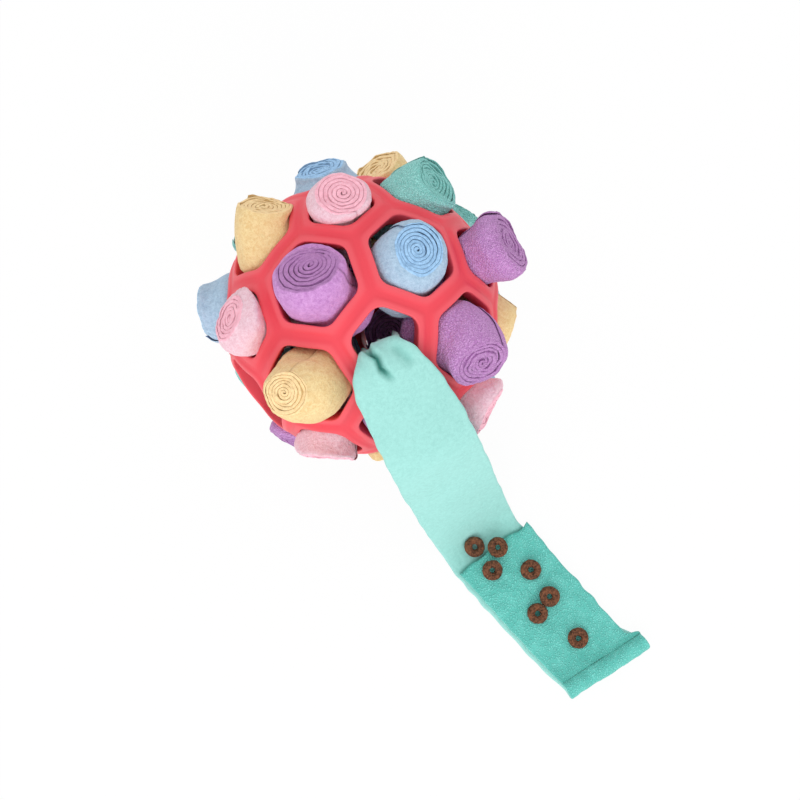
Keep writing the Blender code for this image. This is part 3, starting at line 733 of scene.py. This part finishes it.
def roll_section(rows):
    """Round the section of a rolled strip, up its outside, over the cut edge, down its inside
    and over the tucked edge: level from 0 to 1, side from 1 outside to -1 inside, how far the
    edge stands out from 0 to 1, how deep the point lies in the join to the next turn, which
    sets its painted shade, and how much of the cut shows there. An edge is flat with a quarter
    circle at each corner."""
    up = 1 - (1 - np.linspace(0, 1, rows)) ** 1.35
    bend = np.radians((22, 48, 75))
    corner = 1 - EDGE_ROUNDING * (1 - np.cos(bend))
    flat = np.array((0.4, -0.4)) * (1 - EDGE_ROUNDING)
    edge_side = np.concatenate([corner, flat, -corner[::-1]])
    edge_lift = np.concatenate([np.sin(bend), (1.10, 1.10), np.sin(bend)[::-1]])
    # Painted shade at the corners of a cut edge, where it goes down between two turns
    edge_seam_shade = np.array((1.0, 0.75, 0.25, 0, 0, 0.25, 0.75, 1.0))
    edge_cut = np.array((0.3, 0.7, 1, 1, 1, 1, 0.9, 0.7))
    wall = np.ones(rows)
    tucked = np.zeros(EDGE_COLUMNS)
    level = np.concatenate([up, tucked + 1, up[::-1], tucked])
    side = np.concatenate([wall, edge_side, -wall, -edge_side])
    lift = np.concatenate([wall * 0, edge_lift, wall * 0, -edge_lift])
    seam = np.concatenate([wall, edge_seam_shade, wall, edge_seam_shade])
    cut = np.concatenate([wall * 0, edge_cut, wall * 0, tucked])
    return level, side, lift, seam, cut


def roll_radii(share, pitch, rim):
    """Outer and inner radius of each turn, as shares of the roll's. Counted in turns from the
    free end, a wound strip loses one thickness a turn; but the outermost turn keeps its full
    radius for most of its way and drops to the one below just before it goes under the free
    end, and at the rim it keeps it for longer. The turns below do the same, ever less."""
    back = ((1 - share) / pitch)[:, None]
    start = 0.42 + 0.36 * rim

    def lost(turns):
        whole = np.floor(turns)
        drop = whole + ease((turns - whole - start) / (1 - start))
        return turns + (drop - turns) * np.exp(-np.maximum(turns - 1, 0) / 1.4)

    outer, inner = 1 - pitch * lost(back), 1 - pitch * lost(back + 1)
    return inner + (outer - inner) * (0.5 + 0.5 * ease(back / 0.28)), inner


def roll_shape(entry, pile, opening, sizes, seed):
    """A rolled strip as a grid of points: rows run along the strip from the heart to the free
    end, and columns run round its section. Each section is carried round a spiral whose size,
    place and tilt follow the roll's inner end, the rim, its belly and its outer face, and
    whose outer turns take the rounded outline of the opening where the rim squeezes them."""
    name, reach, belly, end, flap, proud = entry
    lean, facing, bow = LEANS.get(name, UPRIGHT)
    off_centre = OFF_CENTRE.get(name, (0.0, 0.0))
    sides, axis, ends = opening
    east, north = opening_sides(axis)
    around = sizes.radius / UNIT_CIRCUMRADIUS * UNIT_INRADIUS[sides] - sizes.strut_width / 2
    inner_height = sizes.radius - sizes.wall - ROLL_TUCK
    rim_size = around - RIM_SLACK[sides]
    end_size = end * MILLIMETRE
    if reach is None:
        down = -axis[2]
        end_height = (CENTRE[2] + FLOOR_SINK - end_size * math.sqrt(1 - down * down)) / down
    else:
        end_height = sizes.radius + sizes.roll_reach * reach
    mouth = math.sqrt((sizes.radius + sizes.lip_rise) ** 2 - around ** 2)
    rim_height = min(mouth, (inner_height + end_height * 2) / 3)
    belly_height = rim_height + (end_height - rim_height) * BELLY_PLACE
    width = end_height - inner_height
    knots = (np.array((inner_height, rim_height, belly_height, end_height)) - inner_height) / width
    travel = max(end_height - sizes.radius, 0)

    steps = sizes.fine_steps if pile == "pebbled" else sizes.plain_steps
    turns = sizes.turns * TURNS_SHARE[sides]
    share, angle = roll_spiral(turns, steps)
    towards = np.array((math.cos(math.radians(flap)), math.sin(math.radians(flap)), 0))
    angle = angle + math.atan2(towards @ north, towards @ east) - angle[-1]
    pitch = (1 - share[0]) / turns

    level, across, lifts, gap_shade, cut = roll_section(PILE_STEP[pile])
    past_rim = (level - knots[1]) * width
    held = bell(past_rim, np.where(past_rim > 0, HELD_OUTSIDE, HELD_INSIDE))
    size = smooth_through(level, knots, (
        min(inner_height * INNER_SHARE[sides], rim_size), rim_size,
        belly * MILLIMETRE * BELLY_FULLNESS, end_size * FACE_FULLNESS))
    outer, inner = roll_radii(share, pitch, held)
    ends_taper = np.minimum(1 - share, share - share[0]) / (pitch * 0.06)
    thin = np.sqrt(np.clip(1 - (1 - ends_taper.clip(0, 1)) ** 2, 0.02, 1))[:, None]
    middle, half = (outer + inner) / 2, (outer - inner) / 2 * TURN_FILL * thin
    last_turn = ease((share - (1 - pitch)) / pitch * 6)[:, None]
    turned_in = np.clip((level - 1) * width / EDGE_SOFTNESS + 1, 0, 1)
    softened = (1 - np.sqrt(1 - turned_in ** 2)) * (1 + across) / 2 * 0.6
    radius = (middle + half * (across - softened * last_turn)) * size
    loose = np.stack([np.cos(angle) * share, np.sin(angle) * share, share * turns * 0.30], axis=-1)
    shape = radius / size
    cosine, sine = np.cos(angle)[:, None], np.sin(angle)[:, None]
    places = np.stack([cosine * shape, sine * shape, shape * 0], axis=-1)
    wander = ripples(places, RADIUS_WAVES, seed)
    radius = radius + wander * (0.3 + shape) * size * level ** 2
    radius *= 1 + OVALITY * np.cos(2 * angle + seed)[:, None] * level ** 2
    edge_lift = ripples(loose, EDGE_WAVES, seed)
    crown = proud * around * (1 - share ** 2)
    rise = (edge_lift + crown)[:, None] * ease((level - 0.35) / 0.65)
    rounding = half * EDGE_ROUNDING * size
    lift = lifts * rounding - np.where(level > 0.5, 1, -1) * rounding + rise
    lift = lift - softened * last_turn * half * size * 0.5

    x, y = cosine * radius, sine * radius
    corner = math.atan2(ends[0] @ north, ends[0] @ east)
    fill = rounded_outline(np.arctan2(y, x), corner, sides, around, sizes.corner_rounding) / around
    filled = np.where(past_rim > 0, CORNER_FILL * held,
                      CORNER_FILL + (INNER_FILL - CORNER_FILL) * ease(-past_rim / 0.005))
    stretch = 1 + (fill - 1) * filled * share[:, None] ** 1.5
    if name in SAGS:
        bearing = math.atan2(EMPTY_AXIS @ north, EMPTY_AXIS @ east)
        beside = np.clip(np.cos(np.arctan2(y, x) - bearing), 0, 1) ** 3
        height = inner_height + level * width
        far, middle_height, spread = SAGS[name]
        sunk = far * bell(height - middle_height, spread)
        stretch = stretch + sunk / size * beside * share[:, None] ** 4
    aside = off_centre[0] * PICTURE_RIGHT + off_centre[1] * PICTURE_UP
    inner_share = (1 - share)[:, None] * ease((level - 0.3) / 0.7) * end_size
    x = x * stretch + aside @ east * inner_share
    y = y * stretch + aside @ north * inner_share

    if facing is None:
        face = unit(axis + lean[0] * east + lean[1] * north)
    else:
        face = (facing[0] * PICTURE_RIGHT + facing[1] * PICTURE_UP
                + math.sqrt(1 - facing[0] ** 2 - facing[1] ** 2) * PICTURE_FRONT)
    turned = np.array((face @ east, face @ north))
    heading = turned / max(np.linalg.norm(turned), 1e-9)
    bend = math.acos(min(face @ axis, 1.0)) * smooth_through(level, knots, (0, 0, 0.5, 1))
    shift = [smooth_through(level, knots, (
        0, 0, BELLY_LEAN * travel * lean[side] + bow[side] * MILLIMETRE, travel * lean[side]))
        for side in (0, 1)]
    inward = x * heading[0] + y * heading[1]
    aslant = inward * (np.cos(bend) - 1) + lift * np.sin(bend)
    x = x + aslant * heading[0] + shift[0]
    y = y + aslant * heading[1] + shift[1]
    z = inner_height + level * width - inward * np.sin(bend) + lift * np.cos(bend)
    points = x[..., None] * east + y[..., None] * north + z[..., None] * axis

    outwards = unit((x - shift[0])[..., None] * east + (y - shift[1])[..., None] * north)
    if pile == "pebbled":
        shown = ease((share - (1 - pitch * 1.1)) / (pitch * 0.3))[:, None]
        bumps = pebbles(points, 0.0017, seed) * PEBBLE_HEIGHT
        points = points + outwards * (bumps * np.where(across > 0, 1, 0) * shown)[..., None]
    points = points + outwards * (ripple(points, 0.012, seed + 3) * 0.00025 * share[:, None]
                                  + ripple(points, 0.0035, seed + 4) * 0.00008)[..., None]
    points = points + CENTRE
    points[..., 2] = np.maximum(points[..., 2], 0)
    # Painted shade between turns, except on the outside of the outermost turn past its free end
    uncovered = ease((share - (1 - pitch)) / pitch * 40)[:, None]
    seam = gap_shade * (1 - uncovered * (across > 0))
    line = middle[:, 0] * np.exp(1j * angle) * (rim_size + end_size) / 2
    along_strip = np.concatenate([[0], np.cumsum(abs(np.diff(line)))])
    uv = np.stack(np.broadcast_arrays(along_strip[:, None], level * width), axis=-1)
    return points, {"cut": cut, "seam": seam}, uv, (width, along_strip[-1])


def strip_stations(sizes):
    """Left and right edge of the unrolled strip from its tucked end to the end that is folded
    back, with its arch, its gathers and how far it has come down to lie on the floor."""
    radius = sizes.radius
    rows = [(*(CENTRE + np.array(left) * radius), *(CENTRE + np.array(right) * radius),
             arch, gather, 0) for left, right, arch, gather in DRAPE]
    low, high = sizes.fleece / 2, sizes.fleece * 1.5 + LAYER_GAP
    lip = np.array(LIP_MIDDLE) * radius
    along = unit(lip[1] - lip[0])
    ahead = np.array((along[1], -along[0]))

    def lay(edges, height, lying=1.0):
        left, right = edges + CENTRE[:2]
        rows.append((*left, height, *right, height, 0, 0, lying))

    for edges, lying in zip(np.array(LOWER_LAYER) * radius, (0.4, 0.8, 1, 1, 1)):
        lay(edges, low, lying)
    lay(lip, low)
    for degrees in (-60, -30, 0, 30, 60, 90, 120, 150):
        bend = math.radians(degrees)
        lay(lip + ahead * LOOP_RADIUS * math.cos(bend), low + LOOP_RADIUS * (1 + math.sin(bend)))
    for past_loop in (0.0007, 0.0022):
        lay(lip - ahead * (LOOP_RADIUS + past_loop), high)
    for edges in np.array(UPPER_LAYER) * radius:
        lay(edges, high)
    return np.array(rows)


def near_line(points, corners):
    """Distance from each point to a bent line, seen from above, and how far along the line the
    nearest place lies, from 0 to 1."""
    corners = np.array(corners)
    steps = np.linalg.norm(np.diff(corners, axis=0), axis=1)
    starts = np.concatenate([[0], np.cumsum(steps)])
    best, place = np.full(points.shape[:-1], np.inf), np.zeros(points.shape[:-1])
    for first, second, step, start in zip(corners, corners[1:], steps, starts):
        along = (second - first) / step
        t = np.clip((points - first) @ along, 0, step)
        away = np.linalg.norm(points - first - t[..., None] * along, axis=-1)
        place = np.where(away < best, (start + t) / starts[-1], place)
        best = np.minimum(best, away)
    return best, place


def strip_shape(sizes):
    """The unrolled strip as a grid: rows run along it, and columns run round its section, over
    the brushed side, round one cut edge, back under the pebbly side and round the other. The
    middle of a row is a straight line between its edges, arched and gathered, and creases are
    pressed in as the depth times a bell curve of the distance to their line."""
    stations = strip_stations(sizes)
    middle = (stations[:, :3] + stations[:, 3:6]) / 2
    steps = np.concatenate([[0], np.cumsum(np.linalg.norm(np.diff(middle, axis=0), axis=1))])
    length = steps[-1]
    at = np.linspace(0, length, sizes.strip_steps)
    line = smooth_through(at, steps, stations)
    left, right = line[:, :3], line[:, 3:6]
    arch, gather, lying = line[:, 6:].T
    place = (left + right) / 2
    across = unit(right - left)
    width = np.linalg.norm(right - left, axis=1)
    up = unit(np.cross(np.gradient(place, axis=0), across))

    columns = STRIP_COLUMNS
    over = np.linspace(-1, 1, columns)
    round_edge = np.linspace(0, math.pi, EDGE_COLUMNS + 2)[1:-1]
    edge = np.ones(EDGE_COLUMNS)
    side = np.concatenate([over, edge, over[::-1], -edge])
    wall, out, up_down = np.ones(columns), np.sin(round_edge), np.cos(round_edge)
    beyond = np.concatenate([wall * 0, out, wall * 0, -out])
    level = np.concatenate([wall, up_down, -wall, -up_down])

    half = sizes.fleece / 2
    body = width[:, None] / 2 - half * 0.9
    flat_side = side * body + beyond * half * 0.9
    folds = np.cos(2 * math.pi * side) * gather[:, None] * GATHER_DEPTH
    rise = arch[:, None] * CROWN_RISE * (1 - side ** 2)
    ends = np.clip(np.minimum(at, length - at) / (half * 1.1), 0.05, 1)
    thin = np.sqrt(1 - (1 - ends) ** 2)[:, None]
    lift = folds + rise + level * half * thin
    points = place[:, None] + across[:, None] * flat_side[..., None] + up[:, None] * lift[..., None]

    hanging = (1 - np.clip(lying, 0, 1))[:, None]
    crease = np.zeros(lift.shape)
    seen = ease((at - steps[2]) / 0.004)[:, None] * hanging
    for corners, depth, reach, dark in CREASES:
        away, along = near_line((points - CENTRE)[..., :2] / sizes.radius, corners)
        away = away * sizes.radius
        fade = ease((1 - along) / 0.35) * seen
        pressed = bell(away, reach) * fade
        puffed = bell(away - reach * 2.2, reach * 1.1) * fade
        points = points + up[:, None] * ((puffed * 0.18 - pressed) * depth)[..., None]
        # Painted shade along the creases
        crease = np.maximum(crease, bell(away, reach * 0.8) * fade * dark)
    points = points + up[:, None] * (ripple(points, 0.030, 71) * 0.0005 * hanging)[..., None]
    top = np.broadcast_to(level, lift.shape)
    curly = pebbles(points, 0.0019, 5) * 0.0003 + ripple(points, 0.009, 6) * 0.00022
    points = points - up[:, None] * (curly * np.clip(-top, 0, 1))[..., None]
    frayed = ripple(points * np.array((1, 1, 0.3)), 0.006, 9) * 0.00022
    points = points + across[:, None] * (frayed * abs(side) ** 8)[..., None]
    free_end = ease((at - (length - 0.012)) / 0.012)[:, None]
    wave = ripple(points * np.array((1, 1, 0)), 0.012, 12) * SEAM_WAVE * free_end
    ahead = unit(np.gradient(place, axis=0))
    points = points + ahead[:, None] * wave[..., None]
    pile = np.broadcast_to(1 - ease((level + 0.75) / 0.9), lift.shape)
    # Painted shadow on the lower layer where the free end of the upper one lies on it
    under_seam, _ = near_line(points[..., :2], points[-1, :columns:7, :2])
    crease = np.maximum(crease, bell(under_seam, 0.0011) * 0.7 * (lying > 0.3)[:, None]
                        * (at < length - 0.03)[:, None] * np.clip(top, 0, 1))
    # Painted shade on the pebbly side just past the loop, where the loop shades the folded-back
    # layer
    valley = steps[-len(UPPER_LAYER) - 2]
    shade = bell(at - valley, np.where(at > valley, 0.0080, 0.0012)) * 0.30
    crease = np.maximum(crease, shade[:, None] * np.clip(-top, 0, 1))
    uv = np.stack(np.broadcast_arrays(at[:, None], (side * 0.5 + 0.5) * sizes.strip_width),
                  axis=-1)
    points[..., 2] = np.maximum(points[..., 2], 0.0)
    return points, {"pile": pile, "crease": crease}, uv, (sizes.strip_width, length)


def treat_shape(entry, sizes, seed):
    """A ring treat: a circle carried round a circle, with a lumpy baked surface."""
    _, x, y, layer, lean, turn = entry
    around = np.linspace(0, 2 * math.pi, 49)[:-1][:, None]
    section = np.linspace(0, 2 * math.pi, 25)[:-1]
    ring, body = sizes.treat_ring, sizes.treat_body
    local = np.stack(np.broadcast_arrays(np.cos(around), np.sin(around), np.sin(section)), axis=-1)
    rough = ripples(local, TREAT_WAVES, seed) + pebbles(local * 0.003, 0.0009, seed) * 0.13
    thick = body * (1 + rough)
    uneven = 1 + 0.03 * ripple(local * np.array((1, 1, 0)), 2.0, seed + 2)
    reach = ring * uneven + thick * np.cos(section)
    flat = np.stack(np.broadcast_arrays(np.cos(around) * reach, np.sin(around) * reach,
                                        thick * np.sin(section) * 0.96), axis=-1)
    tilt, spin = TREAT_TILT * lean, math.radians(turn)
    flat = flat @ rotation(2, spin).T @ rotation(0, tilt).T @ rotation(2, SEAM_TURN).T
    surface = {1: sizes.fleece, 2: sizes.fleece * 2 + LAYER_GAP}[layer]
    height = surface + REST_GAP + body + ring * math.sin(tilt)
    return flat + np.array((CENTRE[0] + x * sizes.radius, CENTRE[1] + y * sizes.radius, height))


def add_strip(name, points, finish, maps, uv):
    """A strip of fleece from its grid. Each end is closed by faces from the outside across to
    the inside, which start and stop in the middle of the rounded edges."""
    rows, columns = points.shape[:2]
    across = np.arange(columns // 2) - EDGE_COLUMNS // 2
    caps = []
    for base, turned in ((0, False), ((rows - 1) * columns, True)):
        outside = base + across % columns
        inside = base + (-1 - EDGE_COLUMNS - across) % columns
        cap = np.stack([outside[:-1], outside[1:], inside[1:], inside[:-1]], axis=-1)
        caps.append(cap[:, ::-1] if turned else cap)
    quads = np.concatenate([grid_quads(rows, columns, close_columns=True), *caps])
    maps = {key: np.broadcast_to(values, (rows, columns)) for key, values in maps.items()}
    strip = add_piece(name, points.reshape(-1, 3), quads, finish, maps, uv.reshape(-1, 2))
    return tidy_surface(strip, 1e-7)


def length_setting(name, description, default, precision=4):
    """A size in metres."""
    return bpy.props.FloatProperty(name=name, description=description, default=default,
                                   unit="LENGTH", precision=precision)


def count_setting(name, description, default):
    """A whole number of points."""
    return bpy.props.IntProperty(name=name, description=description, default=default)


def colour_setting(name, description, paint_value):
    """A colour, from its paint value."""
    return bpy.props.FloatVectorProperty(name=name, description=description, subtype="COLOR",
                                         size=3, default=paint(*paint_value))


class BallSizes(bpy.types.PropertyGroup):
    """Sizes of the rubber ball and the fleece."""

    radius: length_setting(
        "Ball radius", "From the ball's centre to the junctions of the struts", 0.060)
    wall: length_setting("Wall", "Depth of a strut", 0.008)
    strut_width: length_setting("Strut width", "Across the outer face of a strut", 0.0082)
    strut_rounding: length_setting("Strut rounding", "Rounding along the rim of an opening", 0.0012)
    lip_rise: length_setting("Lip", "How far the rim of an opening stands proud", 0.0006)
    corner_rounding: length_setting(
        "Corner rounding", "Radius in the corners of an opening", 0.0062)
    steps_round: count_setting(
        "Steps round an opening",
        "Columns of the rubber's surface round one opening, a multiple of 30",
        60)
    fleece: length_setting("Fleece", "Thickness of the fleece", 0.0024)
    strip_width: length_setting("Strip width", "Width of a strip that lies flat", 0.039)
    roll_reach: length_setting("Roll reach", "How far a full roll stands out of the ball", 0.015)
    turns: bpy.props.FloatProperty(
        name="Turns", description="Turns of a rolled strip", default=7.4, precision=1)
    plain_steps: count_setting(
        "Steps along a brushed roll", "Points along a rolled brushed strip", 320)
    fine_steps: count_setting(
        "Steps along a pebbled roll", "Points along a rolled strip with a curly pile", 460)
    strip_steps: count_setting(
        "Steps along the unrolled strip", "Points along the unrolled strip", 480)
    treat_ring: length_setting(
        "Treat ring", "From a treat's centre to the middle of its ring", 0.00305, precision=5)
    treat_body: length_setting(
        "Treat thickness", "Half the thickness of a treat's ring", 0.00172, precision=5)


class BallColours(bpy.types.PropertyGroup):
    """Colours of the rubber, the fleece and the treats."""

    coral: colour_setting("Rubber", "Colour of the rubber", (250, 78, 92))
    purple: colour_setting("Purple fleece", "Sides of the purple rolls", (218, 164, 222))
    blue: colour_setting("Blue fleece", "Sides of the blue rolls", (188, 213, 234))
    pink: colour_setting("Pink fleece", "Sides of the pink rolls", (255, 214, 225))
    yellow: colour_setting("Yellow fleece", "Sides of the yellow rolls", (253, 222, 170))
    teal: colour_setting("Teal fleece", "Sides of the teal rolls", (166, 232, 226))
    mint: colour_setting("Mint fleece", "Brushed side of the unrolled strip", (166, 222, 215))
    mint_back: colour_setting("Pebbly side", "Pebbly side of the unrolled strip", (126, 214, 204))
    biscuit: colour_setting("Treats", "Colour of the ring treats", (108, 68, 47))


class StageSettings(bpy.types.PropertyGroup):
    """The floor, the lights and the camera."""

    camera_height: bpy.props.FloatProperty(
        name="Camera elevation", description="Angle of the camera above the floor",
        default=math.radians(80), subtype="ANGLE")
    camera_place: bpy.props.FloatVectorProperty(
        name="Camera place", description="Where the camera stands",
        default=(-0.0119, -0.09732, 0.6752), subtype="TRANSLATION", size=3, precision=4)
    lens: bpy.props.FloatProperty(
        name="Lens", description="Focal length in millimetres on a 36 mm sensor",
        default=63.7)
    key_power: bpy.props.FloatProperty(
        name="Key light", description="Power of the large soft light in front",
        default=5.2, unit="POWER")
    fill_power: bpy.props.FloatProperty(
        name="Fill light", description="Power of the soft light above",
        default=0.6, unit="POWER")
    sky: bpy.props.FloatProperty(
        name="Sky", description="Strength of the even light all round",
        default=0.84)


class SNUFFLE_OT_ball(bpy.types.Operator):
    """Mould the rubber ball"""

    bl_idname = "snuffle.ball"
    bl_label = "Rubber ball"

    def execute(self, context):
        sizes = context.scene.snuffle_sizes
        points, quads, rim_highlights, base = [], [], [], 0
        for sides, axis, ends in ball_openings():
            grid, lip = collar(sides, axis, ends, sizes)
            points.append(grid.reshape(-1, 3))
            rim_highlights.append(lip.ravel())
            quads.append(grid_quads(*grid.shape[:2], close_columns=True) + base)
            base += grid.shape[0] * grid.shape[1]
        finish = rubber_finish(context.scene.snuffle_colours.coral)
        # The lip map holds the painted highlight along the rims
        ball = add_piece("rubber_ball_moulded", np.concatenate(points) + CENTRE,
                         np.concatenate(quads), finish, {"lip": np.concatenate(rim_highlights)})
        tidy_surface(ball, 2e-6)
        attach(ball, "ball")
        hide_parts("rubber_ball")
        return {"FINISHED"}


class SNUFFLE_OT_rolls(bpy.types.Operator):
    """Roll a fleece strip into each opening"""

    bl_idname = "snuffle.rolls"
    bl_label = "Rolled strips"

    def execute(self, context):
        sizes = context.scene.snuffle_sizes
        colours = context.scene.snuffle_colours
        axes = {joint["child"]: np.array(joint["axis"]) for joint in frame["joints"]}
        openings = ball_openings()
        finishes = {}
        for number, entry in enumerate(ROLLS):
            name = entry[0]
            colour = name.split("_")[0]
            pile = "pebbled" if name in CURLY else "brushed"
            kind = f"{colour}_fleece_{pile}"
            if kind not in finishes:
                make = pebbled_finish if pile == "pebbled" else brushed_finish
                finishes[kind] = make(kind, tuple(getattr(colours, colour)), FACE_TONES[colour])
            axis = axes[f"{name}_body"]
            opening = max(openings, key=lambda found: found[1] @ axis)
            points, maps, uv, flat = roll_shape(entry, pile, opening, sizes, number * 17 + 3)
            roll = add_strip(f"{name}_wound", points, finishes[kind], maps, uv)
            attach(roll, f"{name}_body")
            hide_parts(name)
        return {"FINISHED"}


class SNUFFLE_OT_strip(bpy.types.Operator):
    """Unroll one strip over the ball and the floor"""

    bl_idname = "snuffle.strip"
    bl_label = "Unrolled strip"

    def execute(self, context):
        sizes = context.scene.snuffle_sizes
        colours = context.scene.snuffle_colours
        points, maps, uv, flat = strip_shape(sizes)
        finish = strip_finish(tuple(colours.mint), tuple(colours.mint_back))
        strip = add_strip("teal_strip_unrolled", points, finish, maps, uv)
        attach(strip, "strip")
        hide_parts("teal_strip")
        return {"FINISHED"}


class SNUFFLE_OT_treats(bpy.types.Operator):
    """Lay the ring treats on the strip"""

    bl_idname = "snuffle.treats"
    bl_label = "Ring treats"

    def execute(self, context):
        sizes = context.scene.snuffle_sizes
        finish = biscuit_finish(tuple(context.scene.snuffle_colours.biscuit))
        for entry in TREATS:
            points = treat_shape(entry, sizes, entry[0] * 31)
            name = f"ring_treat_{entry[0]}"
            quads = grid_quads(*points.shape[:2], close_rows=True, close_columns=True)
            treat = add_piece(f"{name}_baked", points.reshape(-1, 3), quads, finish)
            tidy_surface(treat, 1e-7)
            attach(treat, f"{name}_body")
            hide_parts(name)
        return {"FINISHED"}


class SNUFFLE_OT_stage(bpy.types.Operator):
    """Set up the floor, the lights and the camera"""

    bl_idname = "snuffle.stage"
    bl_label = "Stage"

    def execute(self, context):
        scene = context.scene
        stage = scene.snuffle_stage
        corners = np.array(((-1, -1, 0), (1, -1, 0), (1, 1, 0), (-1, 1, 0))) * FLOOR_REACH
        floor = add_piece("paper_floor", corners - np.array((0, 0, FLOOR_DROP)),
                          np.array([[0, 1, 2, 3]]), floor_finish())
        for name, place, aim, size, power in (
                ("key_light", (0.10, -0.95, 0.75), (0, 0, 0.03), 0.9, stage.key_power),
                ("fill_light", (-0.35, 0.25, 1.1), (0, 0, 0.05), 1.0, stage.fill_power)):
            lamp = bpy.data.lights.new(name, "AREA")
            lamp.size = size
            lamp.energy = power
            light = bpy.data.objects.new(name, lamp)
            light.location = place
            light.rotation_euler = (Vector(aim) - Vector(place)).to_track_quat("-Z", "Y").to_euler()
            scene.collection.objects.link(light)
        sky = bpy.data.worlds.new("even_sky")
        sky.use_nodes = True
        back = sky.node_tree.nodes["Background"]
        back.inputs["Color"].default_value = (1, 1, 1, 1)
        back.inputs["Strength"].default_value = stage.sky
        scene.world = sky
        camera = bpy.data.objects.new("camera", bpy.data.cameras.new("camera"))
        camera.data.lens = stage.lens
        camera.data.sensor_width = 36
        camera.data.clip_start = 0.01
        camera.location = stage.camera_place
        camera.rotation_euler = (math.pi / 2 - stage.camera_height, 0, 0)
        scene.collection.objects.link(camera)
        scene.camera = camera
        scene.view_settings.view_transform = "Standard"
        return {"FINISHED"}


class SNUFFLE_PT_panel(bpy.types.Panel):
    """Sizes, colours and steps of the snuffle ball"""

    bl_idname = "SNUFFLE_PT_panel"
    bl_label = "Snuffle ball"
    bl_space_type = "VIEW_3D"
    bl_region_type = "UI"
    bl_category = "Snuffle ball"

    def draw(self, context):
        layout = self.layout
        scene = context.scene
        for group in (scene.snuffle_sizes, scene.snuffle_colours, scene.snuffle_stage):
            for name in group.__annotations__:
                layout.prop(group, name)
        for operator in OPERATORS:
            layout.operator(operator.bl_idname)


OPERATORS = (SNUFFLE_OT_ball, SNUFFLE_OT_rolls, SNUFFLE_OT_strip, SNUFFLE_OT_treats,
             SNUFFLE_OT_stage)
CLASSES = (BallSizes, BallColours, StageSettings, *OPERATORS, SNUFFLE_PT_panel)


def register():
    """Adds the classes and the scene's settings."""
    for made in CLASSES:
        bpy.utils.register_class(made)
    bpy.types.Scene.snuffle_sizes = bpy.props.PointerProperty(type=BallSizes)
    bpy.types.Scene.snuffle_colours = bpy.props.PointerProperty(type=BallColours)
    bpy.types.Scene.snuffle_stage = bpy.props.PointerProperty(type=StageSettings)


def unregister():
    """Takes them away again."""
    del bpy.types.Scene.snuffle_sizes
    del bpy.types.Scene.snuffle_colours
    del bpy.types.Scene.snuffle_stage
    for made in reversed(CLASSES):
        bpy.utils.unregister_class(made)


def main():
    """Makes every piece in order."""
    register()
    bpy.ops.snuffle.ball()
    bpy.ops.snuffle.rolls()
    bpy.ops.snuffle.strip()
    bpy.ops.snuffle.treats()
    bpy.ops.snuffle.stage()


if __name__ == "__main__":
    main()
